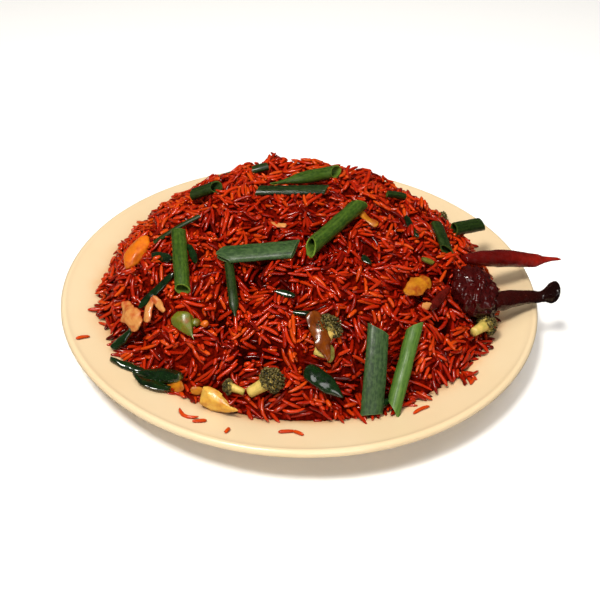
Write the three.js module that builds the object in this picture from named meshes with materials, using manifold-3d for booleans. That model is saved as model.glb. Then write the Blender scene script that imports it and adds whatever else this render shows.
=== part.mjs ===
// A round cream dinner plate with a tall heap of chilli-red vegetable fried rice,
// topped with cut spring onion greens, broccoli, capsicum and dried red chillies.
//
// Millimetres, +Z up. The origin is the centre of the plate's foot, on the plane that
// it stands on. +X is to the right of the served side, which faces -Y.

import * as THREE from 'three';
import { mergeVertices } from 'three/addons/utils/BufferGeometryUtils.js';
import Module from 'manifold-3d';

const wasm = await Module();
wasm.setup();

// ---------------------------------------------------------------- driving dimensions

const GAP = 0.35; // clearance between neighbouring pieces
const DEG = Math.PI / 180;

const PLATE = {
  radius: 130, // outside of the lip
  height: 24, // top of the lip
  wall: 3.6, // thickness of the flange
  lip: 4.4, // thickness of the rolled lip
  floor: 5, // height of the eating surface above the table
  wellRadius: 80, // flat part of the eating surface
  flangeRadius: 100, // where the curved side meets the flange
  flangeHeight: 15,
  footRadius: 76,
  footGroove: 1.2, // depth of the ring pressed into the foot
  segments: 56,
};

const HEAP = {
  centre: [2.3, 8.5],
  radius: 108, // mean radius of the outline
  top: 67.5, // crest above the table
  power: 2.77, // how flat the crown is
  edge: 2.6, // thickness of the rice where it meets the plate
  rings: 21,
};

// Waves of the heap's outline: [turns, cosine part, sine part], in mm.
const OUTLINE_WAVES = [
  [1, -3.6, -2.6],
  [2, 0.4, -1.2],
  [3, 0.8, -1.9],
  [4, 0.8, 0.8],
];

const GRAIN = { length: 11, width: 2.3, sides: 5 };
const RIDGE = { count: 460, height: 2.6, halfWidth: 3.4 };
const HOLLOW = 6; // how deep the open end of a leaf goes
const BED_MARGIN = 4.5; // how far beside a topping the rice stays below its underside

// ---------------------------------------------------------------- small helpers

// Seeded random numbers from 0 to 1.
function randomFrom(seed) {
  let state = seed >>> 0;
  return () => {
    state = (state + 0x6d2b79f5) >>> 0;
    let mixed = Math.imul(state ^ (state >>> 15), 1 | state);
    mixed = (mixed + Math.imul(mixed ^ (mixed >>> 7), 61 | mixed)) ^ mixed;
    return ((mixed ^ (mixed >>> 14)) >>> 0) / 4294967296;
  };
}

const mix = THREE.MathUtils.lerp;
const polar = (radius, angle) => [radius * Math.cos(angle), radius * Math.sin(angle)];

// Linear reading of a curve given as [input, output] corners.
function readCurve(corners, input) {
  for (let i = 1; i < corners.length; i++) {
    const [x0, y0] = corners[i - 1];
    const [x1, y1] = corners[i];
    if (input <= x1) return mix(y0, y1, Math.max(0, (input - x0) / (x1 - x0)));
  }
  return corners[corners.length - 1][1];
}

// A closed geometry as a solid: shared corners merged, collapsed triangles dropped.
function solidOf(geometry) {
  const bare = new THREE.BufferGeometry();
  bare.setAttribute('position', geometry.getAttribute('position').clone());
  if (geometry.index) bare.setIndex(geometry.index.clone());
  const merged = mergeVertices(bare, 1e-4);
  const kept = [];
  const index = merged.index.array;
  for (let i = 0; i < index.length; i += 3) {
    const [a, b, c] = [index[i], index[i + 1], index[i + 2]];
    if (a !== b && b !== c && c !== a) kept.push(a, b, c);
  }
  const mesh = new wasm.Mesh({
    numProp: 3,
    vertProperties: new Float32Array(merged.getAttribute('position').array),
    triVerts: new Uint32Array(kept),
  });
  return new wasm.Manifold(mesh);
}

function geometryOf(solid) {
  const mesh = solid.getMesh();
  const geometry = new THREE.BufferGeometry();
  geometry.setAttribute('position', new THREE.BufferAttribute(mesh.vertProperties, 3));
  geometry.setIndex(new THREE.BufferAttribute(mesh.triVerts, 1));
  geometry.computeVertexNormals();
  return geometry;
}

// The biggest of the bodies that a cut leaves.
function largestBody(solid) {
  const bodies = solid.decompose();
  return bodies.reduce((best, body) => (body.volume() > best.volume() ? body : best));
}

// Whether the boxes round two solids overlap.
function boxesMeet(a, b) {
  const [p, q] = [a.boundingBox(), b.boundingBox()];
  return [0, 1, 2].every((i) => p.min[i] < q.max[i] && q.min[i] < p.max[i]);
}

// A closed skin over a stack of rings with the same number of points each,
// with a flat or pointed end at both ends. A ring is an array of Vector3.
function skinRings(rings) {
  const count = rings[0].length;
  const points = rings.flat();
  const faces = [];
  for (let i = 0; i + 1 < rings.length; i++) {
    for (let j = 0; j < count; j++) {
      const k = (j + 1) % count;
      const [a, b] = [i * count + j, i * count + k];
      faces.push(a, b, a + count, b, b + count, a + count);
    }
  }
  for (const [ring, flip] of [[0, true], [rings.length - 1, false]]) {
    const middle = new THREE.Vector3();
    rings[ring].forEach((point) => middle.addScaledVector(point, 1 / count));
    points.push(middle);
    for (let j = 0; j < count; j++) {
      const [a, b] = [ring * count + j, ring * count + ((j + 1) % count)];
      faces.push(...(flip ? [b, a, points.length - 1] : [a, b, points.length - 1]));
    }
  }
  const geometry = new THREE.BufferGeometry().setFromPoints(points);
  geometry.setIndex(faces);
  return geometry;
}

// ---------------------------------------------------------------- plate

// The eating surface's height at a distance from the plate's axis.
const EATING_SURFACE = [
  [0, PLATE.floor],
  [PLATE.wellRadius, PLATE.floor],
  [mix(PLATE.wellRadius, PLATE.flangeRadius, 0.4), PLATE.floor + 2.2],
  [mix(PLATE.wellRadius, PLATE.flangeRadius, 0.75), PLATE.floor + 6.2],
  [PLATE.flangeRadius, PLATE.flangeHeight],
  [PLATE.radius - PLATE.lip, PLATE.height - 1.1],
  [PLATE.radius - 0.5 * PLATE.lip, PLATE.height],
];
const eatingHeight = (radius) => readCurve(EATING_SURFACE, radius);

// The plate's closed profile, raised by `grow` on its eating side.
function plateProfile(grow = 0) {
  const { radius, height, wall, lip, footRadius, footGroove } = PLATE;
  const upper = EATING_SURFACE.map(([r, z]) => [r, z + grow]);
  const lipSide = [
    [radius + grow, height - 0.3 * lip],
    [radius + grow, height - 0.75 * lip],
    [radius - 0.35 * lip, height - lip],
  ];
  const underside = [
    [PLATE.flangeRadius + 2, PLATE.flangeHeight - wall],
    [mix(footRadius, PLATE.flangeRadius, 0.6), 4.6],
    [footRadius + 2.5, 1],
    [footRadius, 0],
    [footRadius - 8, 0],
    [footRadius - 9.5, footGroove],
    [footRadius - 15, footGroove],
    [footRadius - 16.5, 0],
  ];
  const around = [[0, 0], ...underside.reverse(), ...lipSide.reverse(), ...upper.reverse()];
  return [...around, around[0]].map(([r, z]) => new THREE.Vector2(r, z));
}

function latheSolid(profile) {
  const geometry = new THREE.LatheGeometry(profile, PLATE.segments);
  return solidOf(geometry.rotateX(Math.PI / 2));
}

// ---------------------------------------------------------------- heap of rice

function outlineRadius(angle) {
  return OUTLINE_WAVES.reduce(
    (radius, [turns, c, s]) =>
      radius + c * Math.cos(turns * angle) + s * Math.sin(turns * angle),
    HEAP.radius,
  );
}

// Broad lumps of the crown: [x, y, radius, height].
const LUMPS = [
  [-30, 30, 26, 2.5],
  [8, 42, 22, 3],
  [-62, -18, 24, 2],
  [34, -22, 22, -2],
  [-12, -46, 24, 2.2],
  [60, 24, 22, 2.4],
  [22, 6, 20, 1.8],
  [-48, 58, 22, -2.5],
  [40, 66, 24, 2],
];

// Height of the smooth heap, before its grain-sized ridges.
function heapHeight(x, y) {
  const [dx, dy] = [x - HEAP.centre[0], y - HEAP.centre[1]];
  const angle = Math.atan2(dy, dx);
  const across = Math.hypot(dx, dy) / outlineRadius(angle);
  const plate = eatingHeight(Math.hypot(x, y));
  if (across >= 1) return plate;
  const [ex, ey] = polar(outlineRadius(angle), angle);
  const rimRadius = Math.hypot(HEAP.centre[0] + ex, HEAP.centre[1] + ey);
  const foot = eatingHeight(rimRadius) + HEAP.edge;
  let height = foot + (HEAP.top - foot) * (1 - across ** HEAP.power);
  for (const [lx, ly, spread, rise] of LUMPS) {
    const near = ((x - lx) ** 2 + (y - ly) ** 2) / spread ** 2;
    height += rise * Math.exp(-near) * (1 - across ** 6);
  }
  return height;
}

function heapNormal(x, y) {
  const step = 1.5;
  const sx = (heapHeight(x + step, y) - heapHeight(x - step, y)) / (2 * step);
  const sy = (heapHeight(x, y + step) - heapHeight(x, y - step)) / (2 * step);
  return new THREE.Vector3(-sx, -sy, 1).normalize();
}

// Grain-sized ridges that lie in every direction over the heap.
function makeRidges() {
  const random = randomFrom(11);
  return Array.from({ length: RIDGE.count }, () => {
    const angle = random() * 2 * Math.PI;
    const [dx, dy] = polar(Math.sqrt(random()) * outlineRadius(angle), angle);
    const [hx, hy] = polar(GRAIN.length / 2, random() * Math.PI);
    return { x: HEAP.centre[0] + dx, y: HEAP.centre[1] + dy, hx, hy };
  });
}
const RIDGES = makeRidges();

function ridgeHeight(x, y) {
  let rise = 0;
  for (const ridge of RIDGES) {
    const [dx, dy] = [x - ridge.x, y - ridge.y];
    const along = (dx * ridge.hx + dy * ridge.hy) / (ridge.hx ** 2 + ridge.hy ** 2);
    const t = THREE.MathUtils.clamp(along, -1, 1);
    const away = Math.hypot(dx - t * ridge.hx, dy - t * ridge.hy) / RIDGE.halfWidth;
    if (away < 1) rise = Math.max(rise, RIDGE.height * (1 - away ** 2));
  }
  return rise;
}

// How far across the heap each ring lies, so that rings are evenly spaced on its slope.
function ringPositions() {
  const steps = 400;
  const lengths = [0];
  for (let i = 1; i <= steps; i++) {
    const [a, b] = [(i - 1) / steps, i / steps];
    const drop = (HEAP.top - PLATE.flangeHeight) * (b ** HEAP.power - a ** HEAP.power);
    lengths.push(lengths[i - 1] + Math.hypot((b - a) * HEAP.radius, drop));
  }
  return Array.from({ length: HEAP.rings + 1 }, (_, ring) => {
    const wanted = (lengths[steps] * ring) / HEAP.rings;
    return Math.max(0, lengths.findIndex((length) => length >= wanted - 1e-9)) / steps;
  });
}

// Triangles between two closed rings that have different numbers of points.
function zipRings(faces, outer, inner) {
  let [i, j] = [0, 0];
  while (i < outer.length || j < inner.length) {
    const [a, b] = [outer[i % outer.length], inner[j % inner.length]];
    const outerFirst = (i + 0.5) / outer.length <= (j + 0.5) / inner.length;
    if (j >= inner.length || (i < outer.length && outerFirst)) {
      faces.push(a, outer[(i + 1) % outer.length], b);
      i++;
    } else {
      faces.push(a, inner[(j + 1) % inner.length], b);
      j++;
    }
  }
}

// `ceilings` are functions of x and y: the highest that the rice may reach there.
function heapCore(ceilings) {
  const random = randomFrom(23);
  const points = [];
  const addRing = (count, place) =>
    Array.from({ length: count }, (_, i) => {
      points.push(place((i / count) * 2 * Math.PI));
      return points.length - 1;
    });
  const onPlan = (angle, across) => {
    const [dx, dy] = polar(across * outlineRadius(angle), angle);
    return [HEAP.centre[0] + dx, HEAP.centre[1] + dy];
  };

  const crown = ringPositions().map((across, ring) =>
    addRing(Math.max(1, 6 * ring), (angle) => {
      const jitter = ring > 0 ? 0.01 * (random() - 0.5) : 0;
      const ragged = ring === HEAP.rings ? 0.03 * (random() - 0.5) : 0;
      const [x, y] = onPlan(angle + jitter, across * (1 + ragged));
      const inside = Math.min(across, 0.985);
      const [sx, sy] = onPlan(angle, inside);
      const rise = ring === HEAP.rings ? 0 : ridgeHeight(x, y);
      const base = ring === HEAP.rings
        ? eatingHeight(Math.hypot(x, y)) + HEAP.edge
        : heapHeight(x, y);
      const point = new THREE.Vector3(x, y, base).addScaledVector(heapNormal(sx, sy), rise);
      if (ring === HEAP.rings) return point;
      return point.setZ(Math.min(point.z, ...ceilings.map((top) => top(point.x, point.y))));
    }),
  );

  const edge = crown[HEAP.rings];
  const undersideOf = (x, y) =>
    new THREE.Vector3(x, y, eatingHeight(Math.hypot(x, y)) + GAP + 0.15);
  const footRing = edge.map((corner) => {
    points.push(undersideOf(points[corner].x, points[corner].y));
    return points.length - 1;
  });
  const lowRings = [
    [78, PLATE.flangeRadius + 0.5],
    [60, mix(PLATE.wellRadius, PLATE.flangeRadius, 0.75)],
    [48, mix(PLATE.wellRadius, PLATE.flangeRadius, 0.4)],
    [36, PLATE.wellRadius],
    [12, PLATE.wellRadius / 2],
  ].map(([count, wanted]) =>
    addRing(count, (angle) => {
      const [ox, oy] = onPlan(angle, 0.96);
      const reach = Math.min(wanted, Math.hypot(ox, oy));
      const heading = Math.atan2(oy, ox);
      return undersideOf(...polar(reach, heading));
    }),
  );
  points.push(undersideOf(0, 0));
  const lowMiddle = [points.length - 1];

  const faces = [];
  crown.forEach((ring, i) => {
    if (i > 0) zipRings(faces, ring, crown[i - 1]);
  });
  const downward = [];
  [edge, footRing, ...lowRings, lowMiddle].forEach((ring, i, rings) => {
    if (i > 0) zipRings(downward, rings[i - 1], ring);
  });
  for (let i = 0; i < downward.length; i += 3) {
    faces.push(downward[i], downward[i + 2], downward[i + 1]);
  }
  const geometry = new THREE.BufferGeometry().setFromPoints(points);
  geometry.setIndex(faces);
  return solidOf(geometry);
}

// ---------------------------------------------------------------- pieces on a path

// A path over the heap: a straight or bent run of `length` about `at`, in the plan
// direction `heading` (degrees). It follows the heap by `drape`, from 0, stiff, to 1,
// and lies `lift` above it. `z` gives the heights of both ends instead.
function pathOver({ at, heading, length, lift = 0, drape = 0.8, bend = 0, z, steps = 3 }) {
  const turn = (bend * DEG) / 2;
  const points = [];
  for (let i = 0; i <= steps; i++) {
    const s = (i / steps - 0.5) * length;
    const side = turn === 0 ? 0 : (length / 4) * Math.sin(turn) * (1 - (2 * s / length) ** 2);
    const [cos, sin] = polar(1, heading * DEG);
    points.push(new THREE.Vector3(at[0] + s * cos - side * sin, at[1] + s * sin + side * cos));
  }
  const heights = points.map((point) => heapHeight(point.x, point.y));
  const last = heights.length - 1;
  const middle = heapHeight(...at);
  return points.map((point, i) => {
    const t = i / last;
    const stiff = mix(heights[0], heights[last], t) + middle - mix(heights[0], heights[last], 0.5);
    const height = z ? mix(z[0], z[1], t) : mix(stiff, heights[i], drape) + lift;
    return point.setZ(height);
  });
}

// Cross-sections as [across, up] corners, counter-clockwise, for width and thickness 1.
const SECTIONS = {
  // round or oval tube
  tube: (sides) =>
    Array.from({ length: sides }, (_, i) => polar(0.5, (2 * Math.PI * (i + 0.5)) / sides)),
  // leaf pressed flat, with a fold along each side
  leaf: () => [
    [0.5, 0],
    [0.3, 0.5],
    [-0.1, 0.42],
    [-0.36, 0.5],
    [-0.5, 0],
    [0, -0.5],
  ],
  // curved strip of skin or flesh, hollow side down
  strip: () => [
    [0.5, -0.35],
    [0.26, 0.28],
    [-0.26, 0.3],
    [-0.5, -0.3],
    [-0.2, -0.42],
    [0.2, -0.5],
  ],
};

// Sweeps a section along a path. `taper(t)` scales it, `roll` leans it in degrees and
// `grow` thickens it all round and lengthens it.
function sweepRings(path, { section, width, thick, taper = () => 1, roll = 0, grow = 0 }) {
  const curve = new THREE.CatmullRomCurve3(path);
  const steps = path.length - 1;
  const length = curve.getLength();
  return path.map((_, i) => {
    const t = i / steps;
    const point = curve.getPoint(t);
    const along = curve.getTangent(t);
    const outward = i === 0 ? -1 : i === steps ? 1 : 0;
    point.addScaledVector(along, grow * outward * Math.min(1, length));
    const normal = heapNormal(point.x, point.y);
    const across = new THREE.Vector3().crossVectors(normal, along).normalize();
    const up = new THREE.Vector3().crossVectors(along, across).normalize();
    const lean = (typeof roll === 'number' ? roll : mix(roll[0], roll[1], t)) * DEG;
    const size = taper(t);
    return section.map(([a, b]) => {
      const reach = Math.hypot(a, b);
      const [wide, high] = [
        a * width * size + (grow * 1.3 * a) / reach,
        b * thick * size + (grow * 1.3 * b) / reach,
      ];
      return point
        .clone()
        .addScaledVector(across, wide * Math.cos(lean) - high * Math.sin(lean))
        .addScaledVector(up, wide * Math.sin(lean) + high * Math.cos(lean));
    });
  });
}

const moveToward = (ring, target, share) =>
  ring.map((point) => point.clone().lerp(target, share));

function ringCentre(ring) {
  return ring
    .reduce((sum, point) => sum.add(point), new THREE.Vector3())
    .multiplyScalar(1 / ring.length);
}

// The rings of an open end: over the cut rim, and back inside the leaf.
function openEnd(end, before) {
  const centre = ringCentre(end);
  const inward = ringCentre(before).sub(centre).normalize();
  const mouth = moveToward(end, centre, 0.3);
  const inner = moveToward(end, centre, 0.42).map((p) => p.addScaledVector(inward, HOLLOW));
  return [mouth, inner];
}

function sweptSolid(path, options) {
  const rings = sweepRings(path, options);
  const { open = '', grow = 0 } = options;
  if (grow === 0 && open.includes('end')) {
    rings.push(...openEnd(rings[rings.length - 1], rings[rings.length - 2]));
  }
  if (grow === 0 && open.includes('start')) {
    rings.unshift(...openEnd(rings[0], rings[1]).reverse());
  }
  return solidOf(skinRings(rings));
}

// ---------------------------------------------------------------- kinds of topping
// Each maker takes the piece's own sizes and `grow`, the clearance to add all round.

const restingLift = (piece) => piece.thick / 2 + 0.2;

// The rice's ceiling under a swept piece, and a little way beside it.
function bedUnder(piece) {
  const path = pathOver({ lift: restingLift(piece), ...piece });
  const lean = Math.abs(typeof piece.roll === 'number' ? piece.roll : 0) * DEG;
  const depth = (piece.thick / 2) * Math.cos(lean) + (piece.width / 2) * Math.sin(lean) + GAP + 0.1;
  const reach = piece.width / 2 + BED_MARGIN;
  return (x, y) => {
    let ceiling = Infinity;
    for (let i = 0; i + 1 < path.length; i++) {
      const [a, b] = [path[i], path[i + 1]];
      const [dx, dy] = [b.x - a.x, b.y - a.y];
      const along = ((x - a.x) * dx + (y - a.y) * dy) / (dx * dx + dy * dy);
      const t = THREE.MathUtils.clamp(along, 0, 1);
      const away = Math.hypot(x - a.x - t * dx, y - a.y - t * dy);
      if (away > reach) continue;
      const underside = mix(a.z, b.z, t) - depth / Math.max(0.4, heapNormal(x, y).z);
      ceiling = Math.min(ceiling, underside);
    }
    return ceiling;
  };
}

const springOnion = (piece, grow) =>
  sweptSolid(pathOver({ lift: restingLift(piece), ...piece }), {
    section: piece.flat ? SECTIONS.leaf() : SECTIONS.tube(8),
    width: piece.width,
    thick: piece.thick,
    roll: piece.roll,
    open: piece.open,
    taper: piece.taper,
    grow,
  });

const strip = (piece, grow) =>
  sweptSolid(pathOver({ lift: restingLift(piece), ...piece }), {
    section: SECTIONS.strip(),
    width: piece.width,
    thick: piece.thick,
    roll: piece.roll,
    taper: (t) => 1 - 0.3 * (2 * t - 1) ** 2,
    grow,
  });

// A rough lump of vegetable: a coarse ball squeezed to length, width and thickness,
// with its corners pushed in and out.
function lumpGeometry({ length, width, thick, seed = 1, rough = 0.18, detail = 1 }, grow) {
  const ball = mergeVertices(
    new THREE.IcosahedronGeometry(1, detail).deleteAttribute('normal').deleteAttribute('uv'),
    1e-4,
  );
  const random = randomFrom(seed);
  const corners = ball.getAttribute('position');
  for (let i = 0; i < corners.count; i++) {
    const swell = 1 + rough * (random() - 0.5) * 2;
    const [x, y, z] = [corners.getX(i), corners.getY(i), corners.getZ(i)];
    corners.setXYZ(
      i,
      x * ((length / 2) * swell + grow),
      y * ((width / 2) * swell + grow),
      z * ((thick / 2) * swell + grow),
    );
  }
  return ball;
}

// Stands a geometry on the heap: its own +Z along the heap's normal.
function setOnHeap(geometry, { at, heading, lift = 0, lean = 0, z }) {
  const normal = heapNormal(...at);
  const [hx, hy] = polar(1, heading * DEG);
  const along = new THREE.Vector3(hx, hy, 0).projectOnPlane(normal).normalize();
  const across = new THREE.Vector3().crossVectors(normal, along);
  const frame = new THREE.Matrix4().makeBasis(along, across, normal);
  frame.multiply(new THREE.Matrix4().makeRotationX(lean * DEG));
  const base = new THREE.Vector3(at[0], at[1], z ?? heapHeight(...at));
  frame.setPosition(base.addScaledVector(normal, lift));
  return geometry.applyMatrix4(frame);
}

const chunk = (piece, grow) =>
  solidOf(setOnHeap(lumpGeometry(piece, grow), { lift: piece.thick / 2 - 2, ...piece }));

// A floret: a crown of buds on a stalk that lies towards `heading`.
function broccoli(piece, grow) {
  const { width: head, stalk } = piece;
  const crownBall = lumpGeometry({ ...piece, rough: 0.22 }, grow);
  const stem = new THREE.CylinderGeometry(
    head * 0.24 + grow,
    head * 0.17 + grow,
    stalk + 2 * grow,
    7,
  );
  stem.rotateZ(Math.PI / 2);
  stem.translate(-(stalk / 2 + head * 0.1), 0, -head * 0.08);
  const place = { lift: head * 0.3 - 1, ...piece };
  const floret = solidOf(setOnHeap(crownBall, place));
  return floret.add(solidOf(setOnHeap(stem, place)));
}

// A dried pod: it swells from its stalk end and narrows to a thin, curled tip.
const podTaper = (t) => 0.45 + 0.75 * Math.sin(Math.PI * Math.min(1, 0.2 + 0.95 * t)) - 0.22 * t;

// Another, thickest where it starts, that ends in a knob.
const kneeTaper = (t) => 1.1 - 0.62 * Math.min(t, 0.8) + (t > 0.8 ? 2.2 * (t - 0.8) : 0);

const chilli = (piece, grow) =>
  sweptSolid(pathOver({ steps: 6, ...piece }), {
    section: SECTIONS.tube(8),
    width: piece.width,
    thick: piece.thick,
    taper: piece.taper ?? podTaper,
    roll: [0, 50],
    grow,
  });

// A crumpled dried pod: a ball folded in on itself by deep creases.
function crumpledPod(piece, grow) {
  const ball = lumpGeometry({ ...piece, rough: 0.12, detail: 2 }, grow);
  const corners = ball.getAttribute('position');
  const point = new THREE.Vector3();
  for (let i = 0; i < corners.count; i++) {
    point.fromBufferAttribute(corners, i);
    const around = Math.atan2(point.y, point.x);
    const crease = 0.5 + 0.5 * Math.sin(5 * around + point.z * 0.35);
    point.multiplyScalar(1 - 0.16 * crease * (grow > 0 ? 0.6 : 1));
    corners.setXYZ(i, point.x, point.y, point.z);
  }
  return solidOf(setOnHeap(ball, piece));
}

// ---------------------------------------------------------------- the toppings
// From the uppermost down: an upper piece takes its room from a lower one.
// `at` is the middle in plan, `heading` the plan direction in degrees from +X.

// A row: name, middle in plan, heading, [length, width, thickness], and what else it has.
const rowsOf = (make, colour, rows) =>
  rows.map(([name, at, heading, [length, width, thick], extras = {}]) => ({
    name,
    make,
    colour,
    at,
    heading,
    length,
    width,
    thick,
    ...extras,
  }));

const CHILLIES = [
  ...rowsOf(crumpledPod, 'darkRed', [
    ['chilli_crumpled', [91.5, -24.5], 60, [31, 30, 20], { seed: 41, z: 38.5 }],
  ]),
  ...rowsOf(chilli, 'darkRed', [
    ['chilli_upper', [116, 5.5], 14, [58, 9.4, 8], { z: [44, 33.5], bend: 22 }],
    ['chilli_lower', [118, -20], 17, [41, 10.6, 8.8], { z: [33, 29.5], bend: 28, taper: kneeTaper }],
  ]),
  ...rowsOf(strip, 'darkRed', [
    ['chilli_strip', [71.5, -39], 58, [20, 5.4, 2.6]],
    ['chilli_rag', [7.5, -75.5], -64, [20, 6.4, 2], { lift: 2.2 }],
  ]),
];

const GREENS = rowsOf(springOnion, 'green', [
  ['onion_green_crest_tube', [1, 33], 27, [38, 8.5, 7], { open: 'end', drape: 0.4, lift: 2 }],
  ['onion_green_centre_tube', [17, -13.5], 56, [44, 8.6, 8], { open: 'start end', drape: 0.4 }],
  ['onion_green_left_tube', [-61.5, -28], -81, [38, 8, 6.5], { open: 'end', drape: 0.7 }],
  ['onion_green_middle_leaf', [-22.5, -34], 2, [39, 11, 3.6], { flat: true, open: 'end', roll: 6 }],
  ['onion_green_front_leaf', [37.5, -82.5], -95, [31, 11, 3.6], { flat: true, open: 'end' }],
  ['onion_green_front_tube', [52, -77.5], -107, [36, 8.4, 4.6], { open: 'end' }],
  ['onion_green_crest_strip', [-6, 21], 1, [37, 6, 2.6], { flat: true, roll: 25 }],
  ['onion_green_middle_tail', [-33.5, -51], -80, [27, 5, 3], { flat: true }],
  ['onion_green_right_tube', [93.5, 30], 32, [20, 8.6, 7.4], { open: 'end', z: [46, 43.5] }],
  ['onion_green_right_leaf', [75.5, 5], -79, [20, 8.5, 4.4], { flat: true }],
  ['onion_green_back_left', [-54.5, 33], -8, [13, 8.4, 6], { open: 'start', drape: 0.4 }],
  ['onion_green_back_bit', [-25, 56.5], 10, [8.5, 6, 4]],
  ['onion_green_right_bit', [51.5, 31], 30, [12, 5, 3.6], { flat: true }],
  ['onion_green_left_thread', [-66.5, -0.5], 20, [25, 3, 1.8], { flat: true }],
  ['onion_green_rear_tube', [31, 99], 160, [38, 8.4, 6.4], { open: 'start end' }],
  ['onion_green_rear_leaf', [-34, 98], 18, [35, 10.5, 3.4], { flat: true }],
]);

const FLORETS = rowsOf(broccoli, 'darkGreen', [
  ['broccoli_front', [-12, -89], 35, [12, 15, 12], { stalk: 10, seed: 31 }],
  ['broccoli_front_small', [-31.5, -89], 150, [7.6, 9.5, 7.6], { stalk: 6, seed: 32 }],
  ['broccoli_centre', [13.5, -70], 80, [12, 15, 12], { stalk: 12, seed: 33 }],
  ['broccoli_right', [94.5, -37], 40, [12, 15, 12], { stalk: 9, seed: 34 }],
  ['broccoli_rear', [84, 72], -40, [10.4, 13, 10.4], { stalk: 9, seed: 35 }],
]);

const CHUNKS = [
  ...rowsOf(chunk, 'cream', [
    ['cauliflower_front', [-36.5, -92.3], -18, [19, 13, 9], { seed: 5, lift: 2.2 }],
    ['broccoli_centre_stem', [15.5, -79], -88, [9.5, 4.6, 4.4], { seed: 6, lift: 1, detail: 0 }],
    ['bean_small', [-50.5, -61.5], -10, [5.6, 5, 4], { seed: 4, lift: 0.6, detail: 0 }],
  ]),
  ...rowsOf(chunk, 'orange', [
    ['carrot_left', [-87, -4.5], 56, [22, 14, 9], { seed: 8, lift: 2 }],
    ['carrot_cube', [-45.5, -65], 20, [4.6, 4.4, 4.4], { seed: 3, lift: 0.6, detail: 0 }],
    ['carrot_rear', [-64, 89], 140, [14, 9, 7], { seed: 12, lift: 1.4 }],
  ]),
  ...rowsOf(chunk, 'darkGreen', [
    ['bean_left', [-56.5, -61.5], -72, [17, 8, 5], { seed: 9, lift: 1 }],
  ]),
];

const STRIPS = rowsOf(strip, 'darkGreen', [
  ['capsicum_left_diagonal', [-73, -39], 27, [20, 4.6, 2.2], { roll: 20 }],
  ['capsicum_left_upper', [-72.5, -20], -44, [16, 6, 2.4]],
  ['capsicum_left_upper_arm', [-90, -54], 200, [11, 4.6, 3]],
  ['capsicum_left_lower_arm', [-85, -69], -18, [19, 4.8, 3]],
  ['capsicum_front_fold', [-69, -78], -17, [25, 7, 3.2], { bend: 40 }],
  ['capsicum_front_fold_under', [-69.5, -84.5], -18, [19, 4.4, 2.6], { bend: -30 }],
  ['capsicum_front_gloss', [13, -90], -24, [20, 8, 3.4]],
  ['capsicum_front_dark', [43.5, -92], 18, [13, 6, 3]],
  ['capsicum_middle', [-7, -56.5], -14, [10, 4, 2.2]],
  ['capsicum_centre_strip', [3, -65], -3, [12, 3.4, 2.2]],
  ['capsicum_centre_dark', [33.5, -30], -40, [6, 4.4, 2.2]],
  ['bean_right', [66, -19], 5, [6.5, 4, 2.2]],
  ['capsicum_right_strip', [58.5, 2.5], -70, [16, 5, 2.2]],
  ['capsicum_left_inner', [-55.5, -26], -69, [14, 4, 2]],
  ['capsicum_rear_strip', [62, 91], 142, [20, 7, 2.6]],
]);

const PALE = rowsOf(strip, 'cream', [
  ['onion_left_petal', [-86, -45.5], -54, [18, 12, 3.6]],
  ['onion_left_slice', [-76, -47.5], -100, [11, 4.6, 2.4]],
  ['onion_left_inner', [-71, -47.5], -55, [12, 4.2, 2.4]],
  ['cabbage_front_left', [-59.5, -83.5], -18, [9, 6.5, 2.6]],
  ['cabbage_front_small', [-48, -88], -16, [6.5, 4.6, 2.6]],
  ['cabbage_centre', [34.5, -1], -42, [12.5, 6.5, 2.6]],
  ['onion_top_slice', [-12.5, -10.5], -10, [9, 4.4, 2.2]],
  ['onion_right_petal', [59, -38.5], 45, [19, 11, 3.2]],
  ['onion_right_small', [64.5, -46.5], 20, [6.5, 4.2, 2.6]],
  ['onion_rear_petal', [-2, 107], 8, [18, 10, 3]],
]);

// ---------------------------------------------------------------- loose and proud grains

function grainSolid(centre, heading, pitch, length = GRAIN.length) {
  const [cos, sin] = polar(1, heading);
  const along = new THREE.Vector3(cos, sin, Math.tan(pitch)).normalize();
  const across = new THREE.Vector3(-sin, cos, 0);
  const up = new THREE.Vector3().crossVectors(along, across);
  const stations = [-0.5, -0.22, 0.22, 0.5];
  const rings = stations.map((s) => {
    const radius = (GRAIN.width / 2) * (Math.abs(s) > 0.4 ? 0.45 : 1);
    return Array.from({ length: GRAIN.sides }, (_, i) => {
      const [a, b] = polar(radius, (2 * Math.PI * i) / GRAIN.sides);
      return centre
        .clone()
        .addScaledVector(along, s * length)
        .addScaledVector(across, a)
        .addScaledVector(up, b);
    });
  });
  return solidOf(skinRings(rings));
}

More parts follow.
